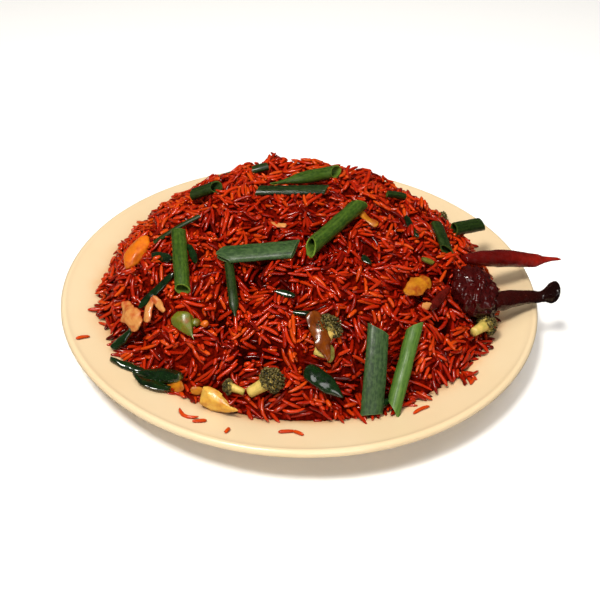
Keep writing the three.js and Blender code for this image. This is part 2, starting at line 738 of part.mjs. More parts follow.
// Grains that stand proud of the heap: round its foot and over its crown.
function proudGrains(toppings, plateClear) {
  const random = randomFrom(77);
  const grains = [];
  const clearOf = (x, y) =>
    toppings.every(({ at, length, width, stalk = 0 }) => {
      const reach = Math.max(length, width) / 2 + stalk;
      return Math.hypot(x - at[0], y - at[1]) > reach + GRAIN.length / 2 + 1;
    });
  const footCount = 22;
  for (let i = 0; i < footCount; i++) {
    const angle = ((i + random() * 0.7) / footCount) * 2 * Math.PI;
    const [dx, dy] = polar(outlineRadius(angle) + 1.5, angle);
    const [x, y] = [HEAP.centre[0] + dx, HEAP.centre[1] + dy];
    const heading = angle + (random() - 0.5) * 1.6;
    const reach = Math.hypot(x, y);
    const slope = (eatingHeight(reach + 2) - eatingHeight(reach - 2)) / 4;
    const pitch = Math.atan(slope * Math.cos(heading - Math.atan2(y, x)));
    const z = eatingHeight(reach) + GAP + GRAIN.width / 2 + 0.5;
    const grain = grainSolid(new THREE.Vector3(x, y, z), heading, pitch);
    if (clearOf(x, y)) grains.push(grain.subtract(plateClear));
  }
  const crownCount = 34;
  for (let i = 0; i < crownCount; i++) {
    const angle = i * 2.39996;
    const [dx, dy] = polar(Math.sqrt((i + 0.5) / crownCount) * 100, angle);
    const [x, y] = [HEAP.centre[0] + dx, HEAP.centre[1] + dy];
    const heading = random() * 2 * Math.PI;
    const normal = heapNormal(x, y);
    const fall = -(normal.x * Math.cos(heading) + normal.y * Math.sin(heading)) / normal.z;
    const pitch = Math.atan(fall) + (random() - 0.2) * 0.35;
    const z = heapHeight(x, y) + 1.6;
    if (clearOf(x, y)) grains.push(grainSolid(new THREE.Vector3(x, y, z), heading, pitch));
  }
  return grains;
}

// Grains dropped on the plate, fused to it: [x, y, heading in degrees, length].
const DROPPED = [
  [-110.5, -51.5, 40, 8],
  [-51.5, -104.5, -30, 11],
  [-45, -108.5, 20, 7],
  [-31.5, -114.5, 70, 5],
  [-4, -112, 10, 8],
  [1.5, -113, -35, 6],
  [60, -94, 35, 10],
  [87.5, -72.5, 60, 7],
];

function droppedGrains() {
  return DROPPED.map(([x, y, heading, length]) => {
    const reach = Math.hypot(x, y);
    const slope = (eatingHeight(reach + 2) - eatingHeight(reach - 2)) / 4;
    const pitch = Math.atan(slope * Math.cos(heading * DEG - Math.atan2(y, x)));
    const centre = new THREE.Vector3(x, y, eatingHeight(reach) + GRAIN.width * 0.3);
    return grainSolid(centre, heading * DEG, pitch, length);
  });
}

// ---------------------------------------------------------------- materials

const finish = (color, roughness) =>
  new THREE.MeshStandardMaterial({ color, roughness, metalness: 0 });

const MATERIALS = {
  plate: finish(0xf9e2b6, 0.35),
  rice: finish(0xb3260e, 0.4),
  green: finish(0x2f6b3a, 0.45),
  darkGreen: finish(0x1c3a18, 0.3),
  cream: finish(0xd9b878, 0.45),
  orange: finish(0xe08a1c, 0.4),
  darkRed: finish(0x5c0f10, 0.3),
};

// ---------------------------------------------------------------- assembly

function makeToppings(plateClear) {
  const made = [];
  for (const piece of [...CHILLIES, ...GREENS, ...FLORETS, ...CHUNKS, ...STRIPS, ...PALE]) {
    let solid = piece.make(piece, 0);
    for (const upper of made) {
      if (boxesMeet(solid, upper.room)) solid = solid.subtract(upper.room);
    }
    if (boxesMeet(solid, plateClear)) solid = solid.subtract(plateClear);
    made.push({ piece, solid: largestBody(solid), room: piece.make(piece, GAP) });
  }
  return made;
}

const object = new THREE.Group();

function addMesh(name, solid, material) {
  const mesh = new THREE.Mesh(geometryOf(solid), material);
  mesh.name = name;
  object.add(mesh);
}

let plate = latheSolid(plateProfile());
for (const grain of droppedGrains()) plate = plate.add(grain);
addMesh('plate', plate, MATERIALS.plate);

const plateClear = latheSolid(plateProfile(GAP));
const toppings = makeToppings(plateClear);
const pieces = toppings.map(({ piece }) => piece);
const swept = pieces.filter(({ make, z }) => make !== chunk && make !== broccoli && !z);
let rice = heapCore(swept.map(bedUnder));
for (const grain of proudGrains(pieces, plateClear)) rice = rice.add(grain);
for (const { room } of toppings) {
  if (boxesMeet(rice, room)) rice = rice.subtract(room);
}
addMesh('rice', largestBody(rice), MATERIALS.rice);

for (const { piece, solid } of toppings) addMesh(piece.name, solid, MATERIALS[piece.colour]);

export default object;
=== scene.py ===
import math
import bmesh
import bpy
import numpy as np
from mathutils import Matrix, Vector, noise
from mathutils.bvhtree import BVHTree


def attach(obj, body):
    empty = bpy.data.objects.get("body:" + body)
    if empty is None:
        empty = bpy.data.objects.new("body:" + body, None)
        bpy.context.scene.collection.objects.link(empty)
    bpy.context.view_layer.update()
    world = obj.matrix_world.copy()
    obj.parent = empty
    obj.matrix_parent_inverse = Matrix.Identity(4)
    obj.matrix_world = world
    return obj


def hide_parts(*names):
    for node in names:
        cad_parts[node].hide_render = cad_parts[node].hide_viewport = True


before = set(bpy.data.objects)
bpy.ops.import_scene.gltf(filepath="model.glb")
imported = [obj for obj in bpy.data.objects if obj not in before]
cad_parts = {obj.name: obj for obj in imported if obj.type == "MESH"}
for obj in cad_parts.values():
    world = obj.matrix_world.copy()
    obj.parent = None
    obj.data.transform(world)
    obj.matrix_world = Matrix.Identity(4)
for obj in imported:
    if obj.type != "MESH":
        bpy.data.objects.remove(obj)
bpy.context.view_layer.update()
print("frame:", len(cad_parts), "nodes")

# Everything is modelled in millimetres here and turned into metres by addPiece.
mm = 0.001


# small helpers

def camelName(node):
    first, *rest = node.split("_")
    return first + "".join(word.capitalize() for word in rest)


def seedOf(name):
    return sum(map(ord, name))


def vertexPlaces(mesh):
    points = np.empty(len(mesh.vertices) * 3)
    mesh.vertices.foreach_get("co", points)
    return points.reshape(-1, 3)


def meshOf(piece):
    # its points in mm, and its triangles
    mesh = piece.data
    mesh.calc_loop_triangles()
    triangles = np.empty(len(mesh.loop_triangles) * 3, int)
    mesh.loop_triangles.foreach_get("vertices", triangles)
    return vertexPlaces(mesh) / mm, triangles.reshape(-1, 3)


def nodeMesh(node):
    return meshOf(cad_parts[node])


def addPiece(name, points, faces, material, slot, nodes=(), crease=None, **fields):
    # faces all have the same number of corners; fields are one value or vector a point
    faces = np.asarray(faces, np.int32)
    mesh = bpy.data.meshes.new(name)
    mesh.vertices.add(len(points))
    mesh.vertices.foreach_set("co", (np.asarray(points) * mm).astype(np.float32).ravel())
    mesh.loops.add(faces.size)
    mesh.loops.foreach_set("vertex_index", faces.ravel())
    mesh.polygons.add(len(faces))
    mesh.polygons.foreach_set("loop_start", np.arange(0, faces.size, faces.shape[1], dtype=np.int32))
    mesh.update(calc_edges=True)
    mesh.shade_smooth()
    if crease is not None:
        mesh.set_sharp_from_angle(angle=math.radians(crease))
    for field, values in fields.items():
        values = np.asarray(values, np.float32)
        kind, key = ("FLOAT", "value") if values.ndim == 1 else ("FLOAT_VECTOR", "vector")
        mesh.attributes.new(field, kind, "POINT").data.foreach_set(key, values.ravel())
    mesh.materials.append(material)
    piece = bpy.data.objects.new(name, mesh)
    bpy.context.scene.collection.objects.link(piece)
    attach(piece, "root")
    if nodes:
        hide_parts(*nodes)
    return piece


def noiseAt(points, size, seed=0):
    # smooth noise from about -0.7 to 0.7; size is the width of its lumps in mm
    shift = Vector((7.3 * seed, 3.1 * seed, 5.7 * seed))
    return np.array([noise.noise(Vector(p) / size + shift) for p in points])


def unit(vector):
    return vector / np.linalg.norm(vector, axis=-1, keepdims=True)


def circle(count):
    return np.arange(count) / count * 2 * math.pi


def rounded(values, power):
    # a cosine or sine made fuller by a power below 1, or leaner by one above
    return np.sign(values) * np.abs(values) ** power


def smoothStep(low, high, values):
    t = np.clip((np.asarray(values, float) - low) / (high - low), 0, 1)
    return t * t * (3 - 2 * t)


# camera, floor and light

cameraLook = {
    "place": (0.2512, -446.801, 349.857),  # mm
    "elevation": 37.1078,
    "roll": 1.8157,  # the photo's horizon falls to the right
    "lens": 59.987,
}
studio = {
    "floorColour": (0.93, 0.93, 0.93, 1),
    "floorRoughness": 0.9,
    "floorReach": 4,  # m each way
    "worldColour": (1.0, 0.98, 0.95, 1),
    "worldStrength": 0.06,
    # name: place (m), aim (m), width (m), watts, colour
    "lamps": {
        "keyLamp": ((-0.26, -0.42, 1.0), (0, 0, 0.03), 0.26, 15.0, (1.0, 0.965, 0.90)),
        "topLamp": ((0.3, 0.2, 1.1), (0, 0, 0.03), 1.3, 9.0, (1.0, 0.98, 0.95)),
        "frontLamp": ((0.25, -1.0, 0.55), (0, 0, 0.03), 0.5, 4.2, (1.0, 0.98, 0.95)),
    },
    "softOnly": ("topLamp",),  # too wide to show as a highlight: it only fills the shadows
}


def makeCamera(look):
    camera = bpy.data.cameras.new("camera")
    camera.lens = look["lens"]
    camera.sensor_width = 36
    camera.clip_start, camera.clip_end = 0.01, 50
    seen = bpy.data.objects.new("camera", camera)
    tilt, roll = math.radians(look["elevation"]), math.radians(look["roll"])
    forward = Vector((0, math.cos(tilt), -math.sin(tilt)))
    level, rise = Vector((1, 0, 0)), Vector((1, 0, 0)).cross(forward)
    right = level * math.cos(roll) + rise * math.sin(roll)
    up = rise * math.cos(roll) - level * math.sin(roll)
    turned = Matrix((right, up, -forward)).transposed().to_4x4()
    seen.matrix_world = Matrix.Translation(Vector(look["place"]) * mm) @ turned
    bpy.context.scene.collection.objects.link(seen)
    bpy.context.scene.camera = seen


def makeStudio(look):
    scene = bpy.context.scene
    scene.view_settings.view_transform = "Standard"
    world = bpy.data.worlds.new("studio")
    world.use_nodes = True
    sky = world.node_tree.nodes["Background"]
    sky.inputs["Color"].default_value = look["worldColour"]
    sky.inputs["Strength"].default_value = look["worldStrength"]
    scene.world = world
    for name, (place, aim, width, watts, colour) in look["lamps"].items():
        light = bpy.data.lights.new(name, "AREA")
        light.size, light.energy, light.color = width, watts, colour
        lamp = bpy.data.objects.new(name, light)
        lamp.location = place
        lamp.rotation_euler = (Vector(aim) - Vector(place)).to_track_quat("-Z", "Y").to_euler()
        lamp.visible_glossy = name not in look["softOnly"]
        scene.collection.objects.link(lamp)
    paper = bpy.data.materials.new("paleFloor")
    paper.use_nodes = True
    shader = paper.node_tree.nodes["Principled BSDF"]
    shader.inputs["Base Color"].default_value = look["floorColour"]
    shader.inputs["Roughness"].default_value = look["floorRoughness"]
    mesh = bpy.data.meshes.new("floor")
    far = look["floorReach"]
    mesh.from_pydata([(-far, -far, 0), (far, -far, 0), (far, far, 0), (-far, far, 0)], [],
                     [(0, 1, 2, 3)])
    mesh.materials.append(paper)
    floor = bpy.data.objects.new("floor", mesh)
    floor.visible_glossy = False  # a white floor would lay a grey veil over every wet piece
    scene.collection.objects.link(floor)


makeCamera(cameraLook)
makeStudio(studio)
print("camera, floor and light")


# shader groups

def put(tree, kind, inputs=None, **settings):
    # a node with its inputs linked or set
    node = tree.nodes.new(kind)
    for key, value in settings.items():
        setattr(node, key, value)
    for socket, value in (inputs or {}).items():
        if isinstance(value, bpy.types.NodeSocket):
            tree.links.new(value, node.inputs[socket])
        else:
            node.inputs[socket].default_value = value
    return node


def newGroup(name, inputs, outputs):
    tree = bpy.data.node_groups.new(name, "ShaderNodeTree")
    for label, (kind, value) in inputs.items():
        socket = tree.interface.new_socket(label, in_out="INPUT", socket_type="NodeSocket" + kind)
        socket.default_value = value
    for label, kind in outputs.items():
        tree.interface.new_socket(label, in_out="OUTPUT", socket_type="NodeSocket" + kind)
    return tree, put(tree, "NodeGroupInput").outputs, put(tree, "NodeGroupOutput").inputs


def maths(tree, operation, *values):
    return put(tree, "ShaderNodeMath", dict(enumerate(values)), operation=operation).outputs[0]


def spread(tree, value, low, high, toLow=0.0, toHigh=1.0):
    inputs = {"Value": value, "From Min": low, "From Max": high, "To Min": toLow, "To Max": toHigh}
    return put(tree, "ShaderNodeMapRange", inputs).outputs["Result"]


def edged(tree, value, middle, soft):
    # 0 below the middle and 1 above it, with a soft step between
    return spread(tree, value, maths(tree, "SUBTRACT", middle, soft), maths(tree, "ADD", middle, soft))


def noiseOver(tree, size, detail, seed=None):
    # noise that stays with the piece, in lumps `size` mm wide
    inputs = {"Vector": put(tree, "ShaderNodeTexCoord").outputs["Object"],
              "Scale": maths(tree, "DIVIDE", 1 / mm, size), "Detail": detail}
    if seed is None:
        return put(tree, "ShaderNodeTexNoise", inputs).outputs["Fac"]
    inputs["W"] = seed
    return put(tree, "ShaderNodeTexNoise", inputs, noise_dimensions="4D").outputs["Fac"]


def makeFibreGroup():
    # lines that run along a piece, from its own (across, up, along) coordinates in mm
    inputs = {"Lay": ("Vector", (0, 0, 0)), "Fineness": ("Float", 1.2), "Stretch": ("Float", 0.06),
              "Contrast": ("Float", 0.2)}
    tree, given, out = newGroup("fibres", inputs, {"Mask": "Float"})
    ways = put(tree, "ShaderNodeCombineXYZ", {"X": given["Fineness"], "Y": given["Fineness"],
                                              "Z": given["Stretch"]})
    laid = put(tree, "ShaderNodeVectorMath", {0: given["Lay"], 1: ways.outputs[0]}, operation="MULTIPLY")
    lines = put(tree, "ShaderNodeTexNoise", {"Vector": laid.outputs[0], "Scale": 1.0, "Detail": 3.0})
    tree.links.new(edged(tree, lines.outputs["Fac"], 0.5, given["Contrast"]), out["Mask"])
    return tree


def makeBlotchGroup():
    # soft uneven patches, Size mm wide, that cover about Amount of the surface
    inputs = {"Size": ("Float", 6.0), "Amount": ("Float", 0.4), "Softness": ("Float", 0.12),
              "Seed": ("Float", 0.0)}
    tree, given, out = newGroup("blotches", inputs, {"Mask": "Float"})
    patches = noiseOver(tree, given["Size"], 3.0, given["Seed"])
    edge = maths(tree, "MULTIPLY_ADD", given["Amount"], -0.6, 0.8)
    tree.links.new(edged(tree, patches, edge, given["Softness"]), out["Mask"])
    return tree


def makeFilmGroup():
    # an uneven film of oil: wet where it lies thick, dry where it is thin
    inputs = {"Size": ("Float", 3.0), "Wet": ("Float", 0.15), "Dry": ("Float", 0.45)}
    tree, given, out = newGroup("oilFilm", inputs, {"Roughness": "Float"})
    film = noiseOver(tree, given["Size"], 2.0)
    tree.links.new(spread(tree, film, 0.35, 0.65, given["Wet"], given["Dry"]), out["Roughness"])
    return tree


def makePoreGroup():
    # fine relief of a cut or cooked surface, Size mm wide
    inputs = {"Size": ("Float", 0.8), "Depth": ("Float", 1.0)}
    tree, given, out = newGroup("pores", inputs, {"Height": "Float"})
    pores = noiseOver(tree, given["Size"], 4.0)
    tree.links.new(maths(tree, "MULTIPLY", pores, given["Depth"]), out["Height"])
    return tree


groups = {"fibres": makeFibreGroup(), "blotches": makeBlotchGroup(), "film": makeFilmGroup(),
          "pores": makePoreGroup()}


class Finish:
    # one material: its shader and the shared groups that feed it
    def __init__(self, name, **plain):
        self.material = bpy.data.materials.new(name)
        self.material.use_nodes = True
        self.tree = self.material.node_tree
        self.shader = self.tree.nodes["Principled BSDF"]
        self.shader.inputs["Specular IOR Level"].default_value = 0.3
        for socket, value in plain.items():
            self.shader.inputs[socket.replace("_", " ")].default_value = value

    def group(self, name, output, **inputs):
        return put(self.tree, "ShaderNodeGroup", inputs, node_tree=groups[name]).outputs[output]

    def blotches(self, size, amount, softness, seed=0.0):
        return self.group("blotches", "Mask", Size=size, Amount=amount, Softness=softness, Seed=seed)

    def fibres(self, fineness, stretch, contrast):
        lay = self.field("lay")["Vector"]
        return self.group("fibres", "Mask", Lay=lay, Fineness=fineness, Stretch=stretch, Contrast=contrast)

    def field(self, name):
        # a number or vector that the piece's points carry
        node = put(self.tree, "ShaderNodeAttribute", attribute_name=name, attribute_type="GEOMETRY")
        return node.outputs

    def blend(self, mask, first, second, most=1.0):
        # the second where the mask is whole, and at most that share of it
        if most < 1:
            mask = maths(self.tree, "MULTIPLY", mask, most)
        sides = [side if isinstance(side, bpy.types.NodeSocket) else (*side, 1) for side in (first, second)]
        node = put(self.tree, "ShaderNodeMix", {0: mask, 6: sides[0], 7: sides[1]}, data_type="RGBA")
        return node.outputs[2]

    def feed(self, socket, value):
        self.tree.links.new(value, self.shader.inputs[socket])

    def oiled(self, size, wet, dry):
        self.feed("Roughness", self.group("film", "Roughness", Size=size, Wet=wet, Dry=dry))

    def relief(self, height, strength, distance):
        bump = put(self.tree, "ShaderNodeBump", {"Height": height, "Strength": strength,
                                                 "Distance": distance * mm})
        self.feed("Normal", bump.outputs["Normal"])

    def pores(self, size, strength, distance):
        self.relief(self.group("pores", "Height", Size=size, Depth=1.0), strength, distance)


def colour(red, green, blue):
    # a screen colour, 0 to 255, as the linear one that shaders take
    def linear(value):
        value /= 255
        return value / 12.92 if value <= 0.04045 else ((value + 0.055) / 1.055) ** 2.4
    return linear(red), linear(green), linear(blue)


print("shader groups:", ", ".join(groups))


# plate

plateLook = {
    "cream": colour(207, 187, 153),
    "shade": colour(203, 179, 142),
    "oil": colour(205, 146, 88),  # oil the rice leaves round its foot, darkened and reddened there as painted shade and red bounce light
    "around": 256,
    "roundness": 2,  # how often the profile's corners are softened
    "softened": 0.22,
}


def plateProfile(look):
    # (distance from the axis, height) from the middle of the eating side round to the underside
    top = [(0, 5), (40, 5), (74, 5), (80, 5), (84, 5.6), (88, 7.1), (95, 11.1), (100, 14.6),
           (104, 16.4), (112, 18.75), (121, 21.45), (125.6, 22.85)]
    lip = [(127.2, 23.75), (128.6, 23.85), (129.7, 22.9), (130, 21.5), (129.55, 20.2), (128.2, 19.5)]
    below = [(124, 18.4), (102, 11.4), (97, 8.4), (90.4, 4.6), (84, 2.2), (78.5, 0.9), (76, 0)]
    foot = [(68, 0), (66.5, 1.2), (61, 1.2), (59.5, 0), (0, 0)]
    corners = top + lip + below + foot
    for _ in range(look["roundness"]):  # cut every corner, which rounds it
        share = look["softened"]
        smoothed = [corners[0]]
        for (r0, z0), (r1, z1) in zip(corners, corners[1:]):
            smoothed.append((r0 + share * (r1 - r0), z0 + share * (z1 - z0)))
            smoothed.append((r1 - share * (r1 - r0), z1 - share * (z1 - z0)))
        corners = smoothed + [corners[-1]]
    return np.array(corners)


plateCurve = plateProfile(plateLook)
eatingSide = plateCurve[:np.argmax(plateCurve[:, 0]) - 2]


def eatingHeight(distance):
    return np.interp(distance, eatingSide[:, 0], eatingSide[:, 1])


def plateFinish(look):
    # melamine: evenly cream, a little worn, and round the rice faintly oiled with painted shade and red
    # bounce light
    finish = Finish("melamineCream", Coat_Weight=0.35, Coat_Roughness=0.12, IOR=1.5)
    base = finish.blend(finish.blotches(45.0, 0.5, 0.3), look["cream"], look["shade"])
    smear = finish.blotches(9.0, 0.55, 0.25, seed=3.0)
    # oil smear round the rice's foot, partly painted shade and red bounce light
    oilAndShadeMask = maths(finish.tree, "MULTIPLY", finish.field("oil")["Fac"], smear)
    finish.feed("Base Color", finish.blend(oilAndShadeMask, base, look["oil"]))
    finish.oiled(30.0, 0.3, 0.42)
    finish.pores(1.4, 0.12, 0.05)
    return finish.material


def latheFaces(rings, around):
    # rings from an axis point to an axis point; the first and last vertex lie on the axis
    faces = []
    ring = np.arange(around)
    after = (ring + 1) % around
    for i in range(rings - 1):
        low, high = 1 + i * around, 1 + (i + 1) * around
        faces += [np.stack([low + ring, high + ring, high + after], 1),
                  np.stack([low + ring, high + after, low + after], 1)]
    last = 1 + rings * around
    faces.append(np.stack([0 * ring, 1 + ring, 1 + after], 1))
    faces.append(np.stack([last + 0 * ring, last - around + after, last - around + ring], 1))
    return np.concatenate(faces)


def makePlate(look, oilAndShadeAt):
    radii, heights = plateCurve[1:-1].T
    turn = circle(look["around"])
    around = np.stack([np.outer(radii, np.cos(turn)), np.outer(radii, np.sin(turn)),
                       np.outer(heights, np.ones_like(turn))], -1).reshape(-1, 3)
    points = np.vstack([[0, 0, plateCurve[0, 1]], around, [0, 0, plateCurve[-1, 1]]])
    faces = latheFaces(len(radii), look["around"])
    return addPiece("dinnerPlate", points, faces, plateFinish(look), "plate", ["plate"],
                    oil=oilAndShadeAt(points[:, 0], points[:, 1]))


# sections read from the frame's own pieces

def crossings(points, triangles, axis, level):
    # where a plane cuts the edges of a mesh
    depth = points @ axis - level
    found = []
    for a, b in ((0, 1), (1, 2), (2, 0)):
        p, q = triangles[:, a], triangles[:, b]
        hit = depth[p] * depth[q] < 0
        share = depth[p][hit] / (depth[p][hit] - depth[q][hit])
        found.append(points[p[hit]] + share[:, None] * (points[q[hit]] - points[p[hit]]))
    return np.concatenate(found)


class Spine:
    # the middle line of a long CAD piece, with its width and thickness along it
    def __init__(self, node, bends=2, cuts=9):
        points, triangles = nodeMesh(node)
        centre = points.mean(0)
        spreads, axes = np.linalg.eigh(np.cov((points - centre).T))
        along = axes[:, 2]
        if along[0] + 0.3 * along[1] < 0:  # runs to the right, or away from the served side
            along = -along
        up = axes[:, 0] if spreads[0] < 0.4 * spreads[1] else np.array([0.0, 0.0, 1.0])
        up = unit(up - (up @ along) * along)
        up = up if up[2] > 0 else -up
        across = np.cross(up, along)
        self.along, self.up, self.across = along, up, across
        reach = points @ along
        self.start, self.end = reach.min(), reach.max()
        self.length = self.end - self.start
        levels = self.start + self.length * np.linspace(0.1, 0.9, cuts)
        middles, halves = [], []
        for level in levels:
            ring = crossings(points, triangles, along, level)
            wide, high = ring @ across, ring @ up
            middles.append([(wide.min() + wide.max()) / 2, (high.min() + high.max()) / 2])
            halves.append([np.ptp(wide) / 2, np.ptp(high) / 2])
        where = (levels - self.start) / self.length
        self.middleFit = [np.polyfit(where, column, bends) for column in np.array(middles).T]
        self.halfWidth, self.halfThick = np.median(np.array(halves), 0)

    def at(self, t):
        # points of the middle line; t runs from 0 to 1 and may pass the ends
        t = np.asarray(t, float)
        wide, high = (np.polyval(fit, t) for fit in self.middleFit)
        level = self.start + self.length * t
        return np.outer(level, self.along) + np.outer(wide, self.across) + np.outer(high, self.up)


def sweptPoints(spine, t, offsets, push=None):
    # offsets: (stations, around, 2) across and up in mm; push: the same, along the piece
    line = spine.at(t)
    tangent = unit(np.gradient(line, axis=0))
    across = unit(np.cross(spine.up, tangent))
    up = np.cross(tangent, across)
    points = (line[:, None] + offsets[..., :1] * across[:, None] + offsets[..., 1:] * up[:, None])
    if push is not None:
        points = points + push[..., None] * tangent[:, None]
    return points


def tubeFaces(rings, around, closed=False):
    # triangles between rings; closed joins the last ring to the first
    faces = []
    k = np.arange(around)
    after = (k + 1) % around
    for i in range(rings if closed else rings - 1):
        low, high = i * around, ((i + 1) % rings) * around
        faces += [np.stack([low + k, low + after, high + after], 1),
                  np.stack([low + k, high + after, high + k], 1)]
    return np.concatenate(faces)


def withEnds(points, around):
    # adds the middles of the first and last rings, for cappedFaces
    return np.vstack([points, points[:around].mean(0), points[-around:].mean(0)])


def cappedFaces(rings, around):
    # a solid: rings with a fan to one extra point at each end
    k = np.arange(around)
    after = (k + 1) % around
    first, last = rings * around, rings * around + 1
    top = (rings - 1) * around
    return np.concatenate([tubeFaces(rings, around),
                           np.stack([first + 0 * k, after, k], 1),
                           np.stack([last + 0 * k, top + k, top + after], 1)])


# spring onion greens

onionGreens = {
    "around": 36,
    "stations": 44,
    "wall": 0.75,  # mm
    "ribs": (13, 0.06),  # how many, and how high as a share of the width
    "wobble": (7, 0.35),  # size and height of its dents, mm
    # kind of leaf: lit skin, shaded skin, cut edge and inside, roughness wet and dry, pale lines
    "fresh": (colour(54, 79, 21), colour(24, 46, 8), colour(104, 128, 42), 0.3, 0.5, 0.15),
    "bright": (colour(78, 106, 38), colour(46, 78, 22), colour(104, 132, 55), 0.36, 0.6, 0.15),
    "matt": (colour(44, 68, 30), colour(22, 43, 17), colour(80, 104, 58), 0.4, 0.65, 0.25),
    "deep": (colour(33, 48, 14), colour(13, 27, 6), colour(60, 82, 32), 0.25, 0.45, 0.15),
    "wet": (colour(34, 48, 22), colour(12, 24, 8), colour(60, 82, 38), 0.08, 0.22, 0.15),
    # node: kind of leaf and its own shape, see plainLeaf
    "pieces": {
        "crest_tube": ("fresh", {"cuts": (-4.0, 9.0), "open": (0.0, 4.0), "slim": (0.2, 0.55), "bends": 1}),
        "centre_tube": ("fresh", {"cuts": (5.0, -6.0), "open": (5.0, 2.0)}),
        "left_tube": ("fresh", {"cuts": (2.0, 1.0), "open": (2.0, 5.0)}),
        "middle_leaf": ("matt", {"cuts": (-3.0, 5.0), "point": (6.0, 0.0), "lift": (2.0, 0.5), "bends": 1}),
        "front_leaf": ("matt", {"cuts": (-2.0, 5.0)}),
        "front_tube": ("bright", {"cuts": (8.0, -6.0)}),
        "crest_strip": ("wet", {"cuts": (3.0, 3.0), "bends": 1}),
        "middle_tail": ("deep", {"cuts": (1.0, -1.0), "slim": (0.25, 0.22)}),
        "right_tube": ("deep", {"cuts": (2.0, 1.0), "open": (0.0, 3.0)}),
        "right_leaf": ("deep", {"cuts": (3.0, -2.0)}),
        "back_left": ("deep", {"cuts": (2.0, 3.0), "open": (0.0, 3.0)}),
        "back_bit": ("deep", {}),
        "right_bit": ("deep", {"cuts": (3.0, 2.0)}),
        "left_thread": ("deep", {}),
        "rear_tube": ("fresh", {"cuts": (5.0, 5.0), "open": (4.0, 4.0)}),
        "rear_leaf": ("matt", {"cuts": (6.0, -5.0)}),
    },
}
plainLeaf = {
    "cuts": (1.0, -1.0),  # mm that each end's cut leans over the width
    "point": (0.0, 0.0),  # mm that each end stands out in the middle
    "open": (0.0, 0.0),  # mm that the underside stands out at each end, which shows the hollow
    "slim": (1.0, 0.0),  # width at the start, and how far along it is whole
    "lift": (0.0, 0.0),  # mm up at each end
    "bends": 2,
}


def onionFinish(kind, look):
    lit, shaded, cut, wet, dry, streaked = look[kind]
    finish = Finish("onionGreen" + kind.capitalize(), Coat_Weight=0.06, Coat_Roughness=0.2, IOR=1.4,
                    Subsurface_Weight=0.06, Subsurface_Radius=(0.3, 0.6, 0.15), Subsurface_Scale=0.002)
    skin = finish.blend(finish.fibres(0.9, 0.025, 0.16), shaded, lit)  # ribs: painted light and shade, lit skin on them and shaded skin between
    skin = finish.blend(finish.blotches(5.0, 0.5, 0.2), skin, shaded, 0.5)  # bloom
    skin = finish.blend(finish.fibres(0.9, 0.5, 0.09), skin, cut, streaked)  # worn lines
    finish.feed("Base Color", finish.blend(finish.field("flesh")["Fac"], skin, cut))
    finish.oiled(4.0, wet, dry)
    finish.relief(finish.fibres(2.6, 0.04, 0.3), 0.5, 0.12)
    return finish.material


def leafSection(turn, width, thick):
    # round when as thick as wide, and a flattened tube with soft folds when thin
    flat = np.clip(1 - thick / width, 0, 1)
    wide = rounded(np.cos(turn), 1 - 0.25 * flat)
    high = rounded(np.sin(turn), 1 + 0.1 * flat)
    return np.stack([wide * width, high * thick], -1)


def endCuts(shape, t, turn, near):
    # how far each point moves along the leaf, so that its ends are cut at a slant
    side, high = np.cos(turn), np.sin(turn)
    atStart = smoothStep(near, 0, t)[:, None]
    atEnd = smoothStep(1 - near, 1, t)[:, None]
    first, last = ((lean * side / 2, point * np.abs(side), opened * high / 2)
                   for lean, point, opened in zip(shape["cuts"], shape["point"], shape["open"]))
    return (first[0] + first[1] + first[2]) * atStart + (last[0] - last[1] - last[2]) * atEnd


def makeOnionGreen(name, kind, own, look):
    node = "onion_green_" + name
    shape = {**plainLeaf, **own}
    spine = Spine(node, bends=shape["bends"])
    seed = seedOf(name)
    around = look["around"]
    turn = circle(around)
    t = np.linspace(0.03, 0.97, look["stations"] - 6)
    t = np.concatenate([[0, 0.004, 0.012], t, [0.988, 0.996, 1]])
    width, thick = spine.halfWidth, spine.halfThick
    wall = min(look["wall"], 0.4 * thick)
    (count, high), (dent, deep) = look["ribs"], look["wobble"]
    ribs = high * np.cos(count * turn) * min(1, thick / 3)
    spots = [(3 * math.cos(a), 3 * math.sin(a), s * spine.length) for s in t for a in turn]
    swell = deep * noiseAt(spots, dent, seed).reshape(len(t), around)
    narrow, whole = shape["slim"]
    slim = (narrow + (1 - narrow) * smoothStep(0, whole, t))[:, None, None] if whole else 1.0
    push = endCuts(shape, t, turn, 1.6 * width / spine.length)
    sheets, lays = [], []
    for inset in (0, wall):
        section = leafSection(turn, width - inset, max(thick - inset, 0.12))
        reach = 1 + ((ribs if inset == 0 else 0) + swell * min(1, thick / 2.5))[..., None] / width
        offsets = section[None] * reach * slim
        sheets.append(sweptPoints(spine, t, offsets, push))
        lays.append(offsets)
    points = np.concatenate([sheets[0], sheets[1][::-1]]).reshape(-1, 3)
    offsets = np.concatenate([lays[0], lays[1][::-1]]).reshape(-1, 2)
    along = np.repeat(np.concatenate([t, t[::-1]]) * spine.length, around)
    points[:, 2] += np.interp(along, (0, spine.length), shape["lift"])
    rim = smoothStep(0.006, 0, t) + smoothStep(0.994, 1, t)
    # inside the hollow the cut colour shows only near the open ends and fades into the skin colours deeper
    # in: painted shade in the hollow
    inner = 0.5 * np.maximum(smoothStep(0.08, 0, t), smoothStep(0.92, 1, t))
    flesh = np.repeat(np.concatenate([rim, inner[::-1]]), around)
    lay = np.column_stack([offsets, along + 17.0 * (seed % 13)])
    return addPiece(camelName(node), points, tubeFaces(2 * len(t), around, closed=True),
                    onionMaterials[kind], "spring_onion", [node], crease=55, lay=lay, flesh=flesh)


onionMaterials = {kind: onionFinish(kind, onionGreens)
                  for kind in ("fresh", "bright", "matt", "deep", "wet")}
toppings = {"garnish": [], "mixedIn": []}
for name, (kind, own) in onionGreens["pieces"].items():
    toppings["garnish"].append(makeOnionGreen(name, kind, own, onionGreens))
print("spring onion:", len(onionGreens["pieces"]), "cut leaves")


# strips of capsicum, onion, cabbage and chilli skin

